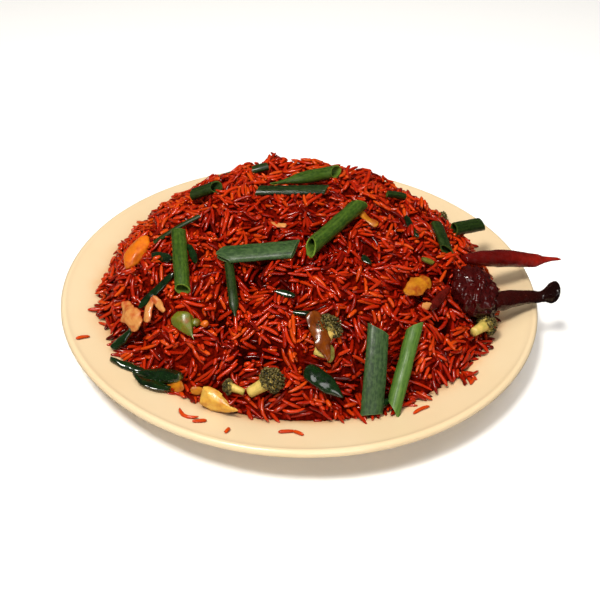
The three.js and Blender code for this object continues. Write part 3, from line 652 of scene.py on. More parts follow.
stripLook = {
    "around": 24,
    "stations": 44,
    # node: width of the CAD's, and the share of it left at the start and at the end
    "shapes": {
        "capsicum_front_fold": (1.9, 0.2, 0.75),
        "capsicum_front_fold_under": (2.2, 0.25, 0.7),
        "capsicum_left_upper_arm": (1.5, 0.9, 0.4),
        "capsicum_left_lower_arm": (1.2, 0.5, 0.9),
        "capsicum_front_gloss": (1.15, 1.0, 0.35),
        "onion_left_petal": (0.95, 0.55, 0.8),
        "onion_right_petal": (0.95, 0.5, 0.9),
        "onion_left_slice": (1.1, 0.9, 0.6),
        "cabbage_front_left": (1.1, 0.7, 1.0),
        "cabbage_centre": (0.9, 0.6, 0.8),
        "chilli_rag": (1.4, 1.0, 0.35),
        "onion_left_inner": (1.1, 0.7, 0.6),
    },
    "plainShape": (1.0, 0.8, 0.75),
    # node: how far it is moved from where the CAD has it, mm
    "moved": {
        "capsicum_front_fold_under": (-1.5, 3.2, 0.6),
        "chilli_rag": (3.0, -3.0, 5.0),
    },
    # colours: skin, skin in patches, flesh; rough: wet and dry; form: thickness of the CAD's, how
    # ragged its edges are, how wavy it is (mm). Nodes keep the CAD's names, also where the colour
    # says another vegetable.
    "kinds": {
        "capsicum": {
            "colours": (colour(13, 36, 9), colour(5, 14, 4), colour(96, 96, 36)),
            "rough": (0.1, 0.3), "coat": 0.5, "form": (0.85, 0.08, 0.6), "slot": "capsicum",
            "nodes": ["capsicum_left_diagonal", "capsicum_left_upper", "capsicum_left_upper_arm",
                      "capsicum_left_lower_arm", "capsicum_front_fold", "capsicum_front_fold_under",
                      "capsicum_front_gloss", "capsicum_front_dark", "capsicum_middle",
                      "capsicum_centre_strip", "capsicum_centre_dark", "capsicum_right_strip",
                      "capsicum_left_inner", "capsicum_rear_strip"],
        },
        "onion": {
            "colours": (colour(186, 132, 70), colour(152, 52, 7), colour(168, 124, 70)),
            "rough": (0.3, 0.55), "coat": 0.12, "form": (0.4, 0.2, 0.8), "slot": "pale_vegetable",
            "nodes": ["onion_left_petal", "onion_left_slice", "onion_left_inner", "onion_right_small",
                      "onion_top_slice", "onion_rear_petal"],
        },
        "cabbage": {
            "colours": (colour(172, 110, 14), colour(124, 40, 4), colour(148, 98, 34)),
            "rough": (0.3, 0.55), "coat": 0.12, "form": (0.4, 0.2, 0.8), "slot": "pale_vegetable",
            "nodes": ["cabbage_front_left", "cabbage_front_small", "cabbage_centre", "onion_right_petal"],
        },
        "chilliSkin": {
            "colours": (colour(86, 13, 6), colour(46, 5, 2), colour(110, 46, 17)),
            "rough": (0.12, 0.3), "coat": 0.12, "form": (0.7, 0.15, 0.5), "slot": "dried_chilli",
            "nodes": ["chilli_strip"],
        },
        "rag": {
            "colours": (colour(104, 48, 4), colour(60, 18, 2), colour(90, 46, 10)),
            "rough": (0.12, 0.26), "coat": 0.12, "form": (0.5, 0.14, 0.7), "slot": "dried_chilli",
            "nodes": ["chilli_rag"],
        },
        "bean": {
            "colours": (colour(98, 96, 30), colour(54, 54, 13), colour(127, 110, 46)),
            "rough": (0.15, 0.35), "coat": 0.12, "form": (1.0, 0.12, 0.3), "slot": "bean",
            "nodes": ["bean_right"],
        },
    },
}


def stripFinish(name, kind):
    skin, patch, flesh = kind["colours"]
    finish = Finish(name + "Strip", Coat_Weight=kind["coat"], Coat_Roughness=0.06, Subsurface_Weight=0.05,
                    Subsurface_Radius=(0.8, 0.5, 0.2), Subsurface_Scale=0.002)
    veins = finish.fibres(0.8, 0.06, 0.2)
    base = finish.blend(veins, skin, patch, 0.35)
    base = finish.blend(finish.blotches(4.0, 0.4, 0.1, seed=1.0), base, patch, 0.85)  # sauce
    base = finish.blend(finish.field("rim")["Fac"], base, patch)
    finish.feed("Base Color", finish.blend(finish.field("flesh")["Fac"], base, flesh))
    finish.oiled(2.5, *kind["rough"])
    finish.relief(veins, 0.35, 0.2)
    return finish.material


def makeStrip(node, kind, material, look):
    spine = Spine(node)
    seed = seedOf(node)
    around, stations = look["around"], look["stations"]
    thinner, ragged, wavy = kind["form"]
    widen, slimStart, slimEnd = look["shapes"].get(node, look["plainShape"])
    turn = circle(around)
    t = 0.5 - 0.5 * np.cos(np.linspace(0.03, 0.97, stations) * math.pi)
    along = t * spine.length
    width, thick = spine.halfWidth * widen, spine.halfThick
    outline = slimStart + (1 - slimStart) * smoothStep(0, 0.45, t)
    outline *= slimEnd + (1 - slimEnd) * smoothStep(1, 0.55, t)
    outline *= np.clip(1 - np.abs(2 * t - 1) ** 9, 0.12, 1) ** 0.5  # its ends are rounded off
    line = [(0, 0, d) for d in along]
    edges = [outline * (1 + ragged * 1.6 * (noiseAt(line, 5.0, seed + k)
                                            + 0.5 * noiseAt(line, 2.2, seed + k + 4)))
             for k in (1, 2)]
    wide = rounded(np.cos(turn), 0.8) * width
    high = rounded(np.sin(turn), 0.7) * thick * thinner
    high = high + thick * (1 - thinner) * 0.7 + 0.5 * thick * (0.4 - (wide / width) ** 2)  # arched
    reach = np.where(wide > 0, edges[0][:, None], edges[1][:, None]) * wide
    offsets = np.stack([reach, high + 0 * reach], -1)
    spots = [(w * 0.7, 0, d) for d in along for w in wide]
    ruffle = wavy * noiseAt(spots, 5.0, seed).reshape(stations, around)
    offsets[..., 1] += ruffle * 1.5
    points = sweptPoints(spine, t, offsets).reshape(-1, 3) + look["moved"].get(node, (0, 0, 0))
    upper = np.tile(np.sin(turn), stations)
    flesh = np.append(1 - smoothStep(-0.45, 0.1, upper), [1, 1])
    rim = np.append(np.tile(0.8 * np.abs(np.cos(turn)) ** 6, stations), [1, 1])  # stained along its edges
    lay = np.column_stack([offsets.reshape(-1, 2), np.repeat(along, around) + seed])
    lay = np.vstack([lay, lay[:1], lay[-1:]])
    return addPiece(camelName(node), withEnds(points, around), cappedFaces(stations, around),
                    material, kind["slot"], [node], lay=lay, flesh=flesh, rim=rim)


for name, kind in stripLook["kinds"].items():
    material = stripFinish(name, kind)
    toppings["mixedIn"] += [makeStrip(node, kind, material, stripLook) for node in kind["nodes"]]
print("strips:", sum(len(kind["nodes"]) for kind in stripLook["kinds"].values()))


# rounded chunks: carrot, cauliflower, bean

chunkLook = {
    "levels": 3,
    # node: the share of the CAD's flat facets that is kept
    "facets": {"carrot_left": 0.0, "carrot_cube": 0.75, "bean_left": 0.7, "bean_small": 0.6,
               "cauliflower_front": 0.6},
    "plainFacets": 0.3,
    # node: towards where it narrows, its width where it starts and ends, how far its tip is bent (mm)
    "wedges": {"cauliflower_front": ((1, -0.6, 0), 1.2, 0.25, (0, -7, -1)),
               "bean_left": ((-0.1, -1, 0), 1.9, 0.2, (0, 0, 0))},
    # node: how far it is moved from where the CAD has it, mm
    "moved": {"carrot_cube": (0, 0, 2.5), "bean_left": (1.4, -0.8, 1.0)},
    # colours: main, second, stain; rough: wet and dry; lumps: how high they are (mm)
    "kinds": {
        "carrot": {
            "colours": (colour(198, 110, 1), colour(186, 84, 1), colour(150, 44, 2)),
            "rough": (0.45, 0.7), "lumps": 0.2, "slot": "carrot",
            "nodes": ["carrot_left", "carrot_cube", "carrot_rear"],
        },
        "cauliflower": {
            "colours": (colour(208, 172, 78), colour(182, 122, 34), colour(150, 66, 11)),
            "rough": (0.3, 0.5), "lumps": 0.3, "slot": "pale_vegetable",
            "nodes": ["cauliflower_front"],
        },
        "greenBean": {
            "colours": (colour(98, 104, 20), colour(62, 72, 10), colour(122, 46, 8)),
            "rough": (0.35, 0.55), "lumps": 0.2, "slot": "bean",
            "nodes": ["bean_left", "bean_small"],
        },
        "stem": {
            "colours": (colour(148, 144, 69), colour(117, 117, 46), colour(126, 75, 32)),
            "rough": (0.2, 0.4), "lumps": 0.3, "slot": "broccoli",
            "nodes": ["broccoli_centre_stem"],
        },
    },
}


def chunkFinish(name, kind):
    main, second, stain = kind["colours"]
    finish = Finish(name + "Flesh", Coat_Weight=0.15, Coat_Roughness=0.15, Subsurface_Weight=0.12,
                    Subsurface_Radius=(1.0, 0.5, 0.2), Subsurface_Scale=0.003)
    base = finish.blend(finish.blotches(6.0, 0.5, 0.3), main, second)
    sauce = finish.blotches(3.5, 0.3, 0.15, seed=2.0)
    finish.feed("Base Color", finish.blend(sauce, base, stain, 0.75))
    finish.oiled(3.0, *kind["rough"])
    finish.pores(0.9, 0.4, 0.25)
    return finish.material


def softened(node, levels, facets=0.0):
    # the node's faceted lump, rounded, with a share of its flat facets kept
    points, triangles = nodeMesh(node)
    spots, where = np.unique(points.round(3), axis=0, return_inverse=True)
    mesh = bpy.data.meshes.new("lump")
    mesh.from_pydata(spots, [], where.ravel()[triangles])
    lump = bpy.data.objects.new("lump", mesh)
    bpy.context.scene.collection.objects.link(lump)
    divided = lump.modifiers.new("divided", "SUBSURF")
    divided.levels = levels
    versions = []
    for way in ("CATMULL_CLARK", "SIMPLE"):  # both number the same points alike
        divided.subdivision_type = way
        graph = bpy.context.evaluated_depsgraph_get()
        after = bpy.data.meshes.new_from_object(lump.evaluated_get(graph))
        versions.append(vertexPlaces(after))
    quads = np.empty(len(after.loops), int)
    after.loops.foreach_get("vertex_index", quads)
    bpy.data.objects.remove(lump)
    after = (1 - facets) * versions[0] + facets * versions[1]
    middle = (spots.min(0) + spots.max(0)) / 2
    now = (after.min(0) + after.max(0)) / 2
    after = middle + (after - now) * np.ptp(spots, axis=0) / np.ptp(after, axis=0)
    return after, quads.reshape(-1, 4)


def outwardOf(points, faces):
    # a unit vector out of the surface at each point
    ways = np.cross(points[faces[:, 1]] - points[faces[:, 0]], points[faces[:, 2]] - points[faces[:, 0]])
    total = np.zeros_like(points)
    for corner in range(faces.shape[1]):
        np.add.at(total, faces[:, corner], ways)
    return unit(total + 1e-12)


def tapered(points, at, wide, narrow, bent):
    # narrows a lump towards one end of its longest way, and bends that end aside
    centre = points.mean(0)
    along = np.linalg.eigh(np.cov((points - centre).T))[1][:, 2]
    along = along if along @ np.array(at) > 0 else -along
    reach = (points - centre) @ along
    t = smoothStep(reach.min(), reach.max(), reach)
    off = points - centre - np.outer(reach, along)
    line = centre + np.outer(reach, along) + np.outer(t ** 2, bent)
    return line + off * (wide - (wide - narrow) * t)[:, None]


def makeChunk(node, kind, material, look):
    points, faces = softened(node, look["levels"], look["facets"].get(node, look["plainFacets"]))
    if node in look["wedges"]:
        points = tapered(points, *look["wedges"][node])
    points = points + look["moved"].get(node, (0, 0, 0))
    seed = seedOf(node)
    outward = outwardOf(points, faces)
    lumps = noiseAt(points, 4.5, seed) + 0.4 * noiseAt(points, 1.8, seed + 3)
    points = points + outward * (kind["lumps"] * lumps)[:, None]
    return addPiece(camelName(node), points, faces, material, kind["slot"], [node])


for name, kind in chunkLook["kinds"].items():
    material = chunkFinish(name, kind)
    for node in kind["nodes"]:
        layer = "garnish" if node in chunkLook["moved"] else "mixedIn"
        toppings[layer].append(makeChunk(node, kind, material, chunkLook))
print("chunks:", sum(len(kind["nodes"]) for kind in chunkLook["kinds"].values()))


# broccoli

broccoliLook = {
    "bud": colour(15, 21, 2),
    "budDark": colour(4, 6, 1),
    "budPale": colour(60, 62, 12),
    "stem": colour(206, 172, 92),
    "stemGreen": colour(142, 134, 58),
    "lobes": 18,  # all round; those towards the stalk are left out
    "buds": 46,  # on each lobe
    "budRadius": 0.62,  # mm on a head 15 mm wide
    # shares of the head's radius: a lobe's size, the stalk at its foot and top, a branch at the fork
    "lobeSize": (0.34, 0.46),
    "stalk": (0.38, 0.5),
    "branch": 0.16,
    "pieces": ["broccoli_front", "broccoli_front_small", "broccoli_centre", "broccoli_right",
               "broccoli_rear"],
}


def broccoliFinish(look):
    finish = Finish("broccoliFloret", Coat_Weight=0.06, Coat_Roughness=0.25)
    shade = finish.blotches(3.0, 0.45, 0.2)
    buds = finish.blend(shade, look["bud"], look["budDark"])
    buds = finish.blend(finish.blotches(5.0, 0.3, 0.15, seed=4.0), buds, look["budPale"], 0.6)
    stems = finish.blend(shade, look["stem"], look["stemGreen"])
    finish.feed("Base Color", finish.blend(finish.field("bud")["Fac"], stems, buds))
    finish.oiled(2.0, 0.35, 0.6)
    finish.pores(0.6, 0.5, 0.2)
    return finish.material


def spherePoints(count, turn=0.0):
    # evenly spread directions
    i = np.arange(count) + 0.5
    rise = 1 - 2 * i / count
    flat = np.sqrt(1 - rise ** 2)
    angle = i * math.pi * (3 - math.sqrt(5)) + turn
    return np.column_stack([flat * np.cos(angle), flat * np.sin(angle), rise])


def ballMesh(detail):
    ball = bmesh.new()
    bmesh.ops.create_icosphere(ball, subdivisions=detail, radius=1)
    points = np.array([v.co for v in ball.verts])
    faces = np.array([[v.index for v in f.verts] for f in ball.faces])
    ball.free()
    return points, faces


class Gathered:
    # several meshes joined into one
    def __init__(self):
        self.points, self.faces, self.marks, self.count = [], [], [], 0

    def add(self, points, faces, mark):
        self.points.append(points)
        self.faces.append(np.asarray(faces) + self.count)
        self.marks.append(np.full(len(points), float(mark)))
        self.count += len(points)

    def joined(self):
        return np.vstack(self.points), np.vstack(self.faces), np.concatenate(self.marks)


def taperedStem(start, end, startRadius, endRadius, around=10, stations=7):
    way = unit(end - start)
    side = unit(np.cross(way, [0.3, 0.2, 1.0]))
    other = np.cross(way, side)
    turn = circle(around)
    t = np.linspace(0, 1, stations)
    radius = startRadius + (endRadius - startRadius) * t ** 1.5
    rim = np.outer(np.cos(turn), side) + np.outer(np.sin(turn), other)
    rim *= (1 + 0.08 * np.cos(3 * turn + 1))[:, None]
    line = start + np.outer(t, end - start)
    points = (line[:, None] + radius[:, None, None] * rim[None]).reshape(-1, 3)
    return np.vstack([points, start - 0.1 * way, end + 0.1 * way]), cappedFaces(stations, around)


def makeBroccoli(node, material, look):
    spine = Spine(node, bends=1, cuts=7)
    points, _ = nodeMesh(node)
    reach = (points @ spine.along - spine.start) / spine.length
    spreadAt = [np.ptp(points[mask] @ spine.across) for mask in (reach < 0.4, reach > 0.6)]
    crownAtEnd = spreadAt[1] > spreadAt[0]
    headSize = max(spreadAt)
    crownT, footT = (1 - 0.42 * headSize / spine.length, 0.0) if crownAtEnd else (
        0.42 * headSize / spine.length, 1.0)
    crown, foot = spine.at([crownT])[0], spine.at([footT])[0]
    way = unit(crown - foot)
    radius = 0.5 * headSize
    rng = np.random.default_rng(seedOf(node))
    floret = Gathered()
    fork = crown - way * radius * 0.55
    below, above = look["stalk"]
    floret.add(*taperedStem(foot, fork + way * radius * 0.3, radius * below, radius * above), 0)
    lobeWays = [d for d in spherePoints(look["lobes"], rng.uniform(0, 6)) if d @ way > -0.35]
    bud, budFaces = ballMesh(1)
    for lobeWay in lobeWays:
        lobeWay = unit(lobeWay + rng.normal(0, 0.12, 3))
        size = radius * rng.uniform(*look["lobeSize"])
        squash = 1 - 0.25 * abs(lobeWay @ way)
        middle = crown + lobeWay * (radius - size) * squash
        floret.add(*taperedStem(fork, middle, radius * look["branch"], size * 0.7, 8, 4), 0.15)
        for direction in spherePoints(look["buds"], rng.uniform(0, 6)):
            if direction @ (lobeWay + 0.4 * way) < -0.25:
                continue
            place = middle + direction * size * rng.uniform(0.88, 1.04)
            grown = look["budRadius"] * headSize / 15 * rng.uniform(0.75, 1.25)
            floret.add(place + bud * grown, budFaces, rng.uniform(0.75, 1))
    points, faces, marks = floret.joined()
    lowest = nodeMesh(node)[0][:, 2].min()
    points[:, 2] = np.maximum(points[:, 2], lowest)
    return addPiece(camelName(node), points, faces, material, "broccoli", [node], bud=marks)


broccoliMaterial = broccoliFinish(broccoliLook)
for node in broccoliLook["pieces"]:
    toppings["mixedIn"].append(makeBroccoli(node, broccoliMaterial, broccoliLook))
print("broccoli:", len(broccoliLook["pieces"]), "florets")


# dried chillies

chilliLook = {
    # colour of small paler specks on the skin: painted highlight
    "worn": colour(100, 40, 26),
    "around": 40,
    "stations": 110,
    # node: its half thickness along it as (place, share), how much its end curls up (mm)
    "pods": {
        "chilli_upper": ([(0, 0.1), (0.02, 0.6), (0.2, 0.95), (0.38, 1.08), (0.6, 1.0), (0.76, 0.86),
                          (0.83, 0.5), (0.9, 0.3), (0.97, 0.2), (1, 0.08)], 3.0),
        "chilli_lower": ([(0, 0.3), (0.03, 1.1), (0.15, 1.3), (0.4, 1.1), (0.65, 0.88), (0.78, 0.72),
                          (0.83, 0.95), (0.9, 1.45), (0.95, 1.45), (0.985, 1.0), (1, 0.1)], 5.0),
    },
    # node: colour at its start, at its end (on the crumpled pod its top, and its bottom in painted shade),
    # and the fold colour, a painted shade laid in random patches
    "colours": {
        "chilli_upper": (colour(84, 8, 5), colour(142, 26, 14), colour(44, 4, 3)),
        "chilli_lower": (colour(44, 5, 3), colour(14, 4, 3), colour(18, 3, 2)),
        "chilli_crumpled": (colour(60, 6, 5), colour(24, 3, 2), colour(14, 2, 2)),
    },
    "wrinkles": [(9.0, 0.4), (3.2, 0.22), (1.3, 0.1)],  # size and height, mm
    "crumple": [(12.0, 1.6), (5.0, 1.0), (1.8, 0.4)],
    "creases": (17, 0.6),  # how many run down its side, and how deep
}


def chilliFinish(node, look):
    start, end, fold = look["colours"][node]
    finish = Finish(camelName(node) + "Skin", Coat_Weight=0.3, Coat_Roughness=0.06,
                    Specular_IOR_Level=0.15)
    # along a pod its colour ripens from start to end; on the crumpled pod the end colour lies low, as
    # painted shade under it
    base = finish.blend(finish.field("ripe")["Fac"], start, end)
    # darker patches in the fold colour: painted shade, laid at random
    base = finish.blend(finish.blotches(4.0, 0.4, 0.25), base, fold, 0.7)
    # small paler specks: painted highlight
    worn = finish.blotches(1.4, 0.16, 0.08, seed=6.0)
    finish.feed("Base Color", finish.blend(worn, base, look["worn"], 0.3))
    finish.oiled(2.5, 0.12, 0.42)
    finish.pores(1.2, 0.12, 0.15)
    return finish.material


def creased(points, sizes, seed):
    # sharp valleys between rounded folds
    return sum(height * (0.5 - np.abs(1 - 2.6 * np.abs(noiseAt(points, size, seed + k))))
               for k, (size, height) in enumerate(sizes))


def makePod(node, outline, curl, look):
    spine = Spine(node, bends=3, cuts=13)
    around, stations = look["around"], look["stations"]
    turn = circle(around)
    t = 0.5 - 0.5 * np.cos(np.linspace(0, 1, stations) * math.pi)
    places, shares = np.array(outline).T
    belly = np.interp(t, places, shares)
    belly[1:-1] = (belly[:-2] + 2 * belly[1:-1] + belly[2:]) / 4
    half = np.array([spine.halfWidth, spine.halfThick]) * 1.05
    ring = np.stack([np.cos(turn), np.sin(turn)], -1) * half
    spots = np.array([(half[0] * math.cos(a) * b, half[1] * math.sin(a) * b, 0.4 * s * spine.length)
                      for s, b in zip(t, belly) for a in turn])
    wrinkle = creased(spots, look["wrinkles"], seedOf(node)).reshape(stations, around)
    reach = belly[:, None] * (1 + wrinkle * np.minimum(1, 2 * belly[:, None]) / half[0])
    points = sweptPoints(spine, t, ring[None] * reach[..., None])
    points[..., 2] += (curl * smoothStep(0.72, 1.0, t))[:, None]
    ripe = np.append(np.repeat(smoothStep(0.35, 1, t), around), [0, 1])
    return addPiece(camelName(node), withEnds(points.reshape(-1, 3), around),
                    cappedFaces(stations, around), chilliFinish(node, look), "dried_chilli", [node],
                    ripe=ripe)


def makeCrumpledPod(node, look):
    points, faces = softened(node, 3)
    centre = points.mean(0)
    count, deep = look["creases"]
    around = np.arctan2(points[:, 1] - centre[1], points[:, 0] - centre[0])
    warp = 1.5 * noiseAt(points, 14.0, 2)
    lines = deep * np.cos(count * around + 4 * warp)
    points = points + outwardOf(points, faces) * lines[:, None]
    for k, (size, height) in enumerate(look["crumple"]):
        fold = creased(points, [(size, height)], 3 + k)
        points = points + outwardOf(points, faces) * fold[:, None]
    # darker towards its bottom: painted shade under the lump
    ripe = smoothStep(centre[2] + 2, centre[2] - 8, points[:, 2])
    return addPiece(camelName(node), points, faces, chilliFinish(node, look), "dried_chilli", [node],
                    ripe=ripe)


for node, (outline, curl) in chilliLook["pods"].items():
    toppings["garnish"].append(makePod(node, outline, curl, chilliLook))
toppings["garnish"].append(makeCrumpledPod("chilli_crumpled", chilliLook))
print("dried chillies: 3")


# height maps of the heap, on a grid seen from above

grid = {"half": 130.0, "step": 0.5}
cellLine = np.arange(-grid["half"], grid["half"], grid["step"]) + grid["step"] / 2
cellX, cellY = np.meshgrid(cellLine, cellLine)
cells = len(cellLine)
plateMap = eatingHeight(np.hypot(cellX, cellY))


def cellOf(value):
    return np.clip(((np.asarray(value) + grid["half"]) / grid["step"]).astype(int), 0, cells - 1)


def blurred(values, width):
    # a soft average over about `width` mm
    reach = int(math.ceil(2.5 * width / grid["step"]))
    steps = np.arange(-reach, reach + 1)
    weights = np.exp(-0.5 * (steps * grid["step"] / width) ** 2)
    weights /= weights.sum()
    for axis in (0, 1):
        values = sum(w * np.roll(values, s, axis) for s, w in zip(steps, weights))
    return values


def moundAt(x, y, width):
    # 1 at a place in plan, fading away from it
    return np.exp(-((cellX - x) ** 2 + (cellY - y) ** 2) / (2 * width ** 2))


def noiseMap(size, seed):
    # smooth noise over the plan, about -1 to 1
    coarse = np.arange(-grid["half"], grid["half"] + size, size / 4)
    rows = np.array([[noise.noise(Vector((x / size, y / size, 3.7 * seed))) for x in coarse]
                     for y in coarse])
    place = (cellLine + grid["half"]) / (size / 4)
    low = place.astype(int)
    share = place - low
    rows = rows[low] * (1 - share)[:, None] + rows[low + 1] * share[:, None]
    return 1.6 * (rows[:, low] * (1 - share) + rows[:, low + 1] * share)


def castMap(points, faces, window, fromAbove=True):
    # height where a vertical ray first meets the mesh, for the cells in a window
    tree = BVHTree.FromPolygons(points.tolist(), faces.tolist())
    lineX, lineY = cellLine[window[1]], cellLine[window[0]]
    found = np.full((len(lineY), len(lineX)), np.nan)
    far, way = (500, Vector((0, 0, -1))) if fromAbove else (-50, Vector((0, 0, 1)))
    for row, y in enumerate(lineY):
        for column, x in enumerate(lineX):
            hit = tree.ray_cast(Vector((x, y, far)), way)[0]
            if hit is not None:
                found[row, column] = hit.z
    return found


def windowOf(points, margin=1.0):
    low, high = points.min(0) - margin, points.max(0) + margin
    return slice(cellOf(low[1]), cellOf(high[1]) + 1), slice(cellOf(low[0]), cellOf(high[0]) + 1)


def heapMaps():
    # what the CAD heap fills, and what the toppings take from above and below
    points, faces = nodeMesh("rice")
    window = windowOf(points)
    rice = np.full((cells, cells), np.nan)
    rice[window] = castMap(points, faces, window)
    topOf = {kind: np.full((cells, cells), -1.0) for kind in toppings}
    under = np.full((cells, cells), 500.0)
    for kind, pieces in toppings.items():
        for piece in pieces:
            points, faces = meshOf(piece)
            window = windowOf(points)
            topOf[kind][window] = np.fmax(topOf[kind][window], castMap(points, faces, window))
            under[window] = np.fmin(under[window], castMap(points, faces, window, fromAbove=False))
    return rice, topOf, under


riceMap, topMaps, underMap = heapMaps()
print("height maps:", cells, "x", cells)


# rice

riceLook = {
    "length": (10.4, 1.6),  # mm, mean and spread of whole grains
    "broken": 0.14,  # share of short, broken grains
    "brokenInGaps": 0.75,  # the same, once only short grains find a gap
    "radius": (0.95, 0.09),
    "bend": 0.75,  # mm
    "around": 6,
    "profile": (-1, -0.93, -0.7, -0.25, 0.25, 0.7, 0.93, 1),  # where along the half length its rings are
    "sag": 1.6,  # mm: how far a soft grain follows the ground
    "sunk": 0.7,  # mm: how far it presses into the grains below
    "wild": 0.3,  # share of grains that lie across their neighbours
    "sticksOut": 2.2,  # mm: how far one end may pass the heap's surface
    "slack": (0.0, 1.5),  # mm: how far a whole grain may pass it
    "steepest": 1.1,  # rise over run of a grain
    "layer": 5.0,  # how deep the loose grains lie, mm
    "least": 3.2,  # and how deep at least, in the pockets
    "matted": (0.8, 2.1),  # mm: how smoothly and how deep the grains are stuck together
    "clumps": [(20.0, 2.6, 1), (9.5, 2.7, 2)],  # size of the clumps, height, seed
    "clumpsFrom": (2, 9),  # mm above the plate where clumps begin and are whole
    "lowered": 1.6,  # mm: the heap lies this much lower, because grains stand out of it
    # dark pockets between the clumps: middle in plan, width and depth, mm
    "hollows": [(34, -24, 4, 4), (-56, -20, 4, 5), (-39, -61, 5, 5), (-15, -79, 5, 5), (24, -62, 4, 4),
                (-15, -21, 3.5, 3), (-48, -4, 3.5, 4), (-25, -76, 4, 4), (-23, -42, 6, 4),
                (0, -42, 6, 4), (62, -18, 3.5, 4), (77, -20, 4, 4), (80, -36, 4, 5), (71, -46, 4, 4),
                (26, -88, 5, 4), (-9, -52, 3.5, 3), (49, -2, 3.5, 3), (-30, 12, 4, 3), (20, 24, 4, 3)],
    # broad patches of painted shade (darker) and painted light (paler): middle in plan, width (mm), change
    # of tone
    "paintedLightPatches": [(10, -18, 26, -0.95), (0, -84, 22, 0.3), (60, -68, 16, -0.35)],
    "ragged": 4.5,  # how unevenly the foot spreads over the plate
    "most": 7600,  # grains laid at most
    "proud": 150,  # tries to stand grains up out of the heap
    "over": 900,  # tries to lay grains over the mixed-in pieces
    "batch": 400,  # grains tried before the room left is measured again
    "enough": 8,  # a batch that lays fewer of them hardly helps
    "patience": 12,  # how many such batches end the pouring
    "tipped": (4, 14),  # degrees that a proud grain stands up
    "seed": 20,
    # the imported rice below: its colours, darkened as painted shade between the grains, and its cells
    # round and outward
    "sauce": colour(62, 5, 1),
    "shadedCrumbs": colour(112, 14, 3),
    # painted shade in the pockets
    "pocketShade": colour(24, 2, 1),
    "coreCells": (460, 130),
    "coreMiddle": (2.3, 8.5),  # mm in plan
}

riceKinds = {
    # name: share, lit colour, deep colour (its shaded copy, for painted shade), roughness wet and dry
    "riceRed": (0.20, colour(174, 40, 6), colour(126, 14, 1), 0.10, 0.26),
    "riceScarlet": (0.18, colour(182, 48, 8), colour(134, 18, 2), 0.12, 0.3),
    "riceOrange": (0.20, colour(188, 66, 10), colour(146, 28, 3), 0.12, 0.32),
    "riceDeep": (0.20, colour(152, 26, 4), colour(98, 7, 1), 0.10, 0.26),
    "riceGlazed": (0.12, colour(176, 48, 14), colour(122, 15, 3), 0.07, 0.18),
    "riceDark": (0.10, colour(118, 14, 3), colour(64, 4, 1), 0.10, 0.28),
}


def headingMap():
    # neighbouring grains tend to lie the same way
    return 3.2 * noiseMap(18.0, 5) + 2.0 * noiseMap(45.0, 6)


def clumpMap(size, height, seed):
    # rounded clumps with sharp valleys between them
    rounds = np.minimum(np.abs(2.4 * noiseMap(size, seed)), 1) ** 0.7
    return height * (2.2 * rounds - 1.5)


def heapEnvelope(look):
    # the surface that the topmost grains reach
    inside = ~np.isnan(riceMap)
    covered = inside.astype(float)
    smooth = np.maximum(blurred(np.where(inside, riceMap, plateMap), 2.4), plateMap)
    bumps = sum(clumpMap(*clump) for clump in look["clumps"])
    surface = smooth + (bumps - look["lowered"]) * smoothStep(*look["clumpsFrom"], smooth - plateMap)
    foot = blurred(covered, 2.0) + 0.09 * look["ragged"] * noiseMap(9.0, 8)
    foot = np.where(blurred(covered, 3.0) > 0.1, foot, 0)
    oneGrain = 2.2 * look["radius"][0]
    below = plateMap - 5  # where no rice lies
    surface = np.where(foot > 0.42, np.maximum(surface, plateMap + oneGrain), below)
    for x, y, width, depth in look["hollows"]:
        surface = np.where(surface > plateMap, surface - depth * moundAt(x, y, width), surface)
    return np.minimum(surface, underMap - 0.15), inside


def hollowMap(look):
    # 1 in the middle of the pockets, where painted shade darkens the rice
    return np.max([moundAt(x, y, 1.3 * width) for x, y, width, _ in look["hollows"]], axis=0)


# broad patches of painted shade and painted light
def paintedLightMap(look):
    return sum(change * moundAt(x, y, width) for x, y, width, change in look["paintedLightPatches"])


def steepness(surface):
    # how much longer than its plan the slope is
    tiltY, tiltX = np.gradient(blurred(surface, 3.0), grid["step"])
    return np.clip(np.sqrt(1 + tiltX ** 2 + tiltY ** 2), 1, 2.4)


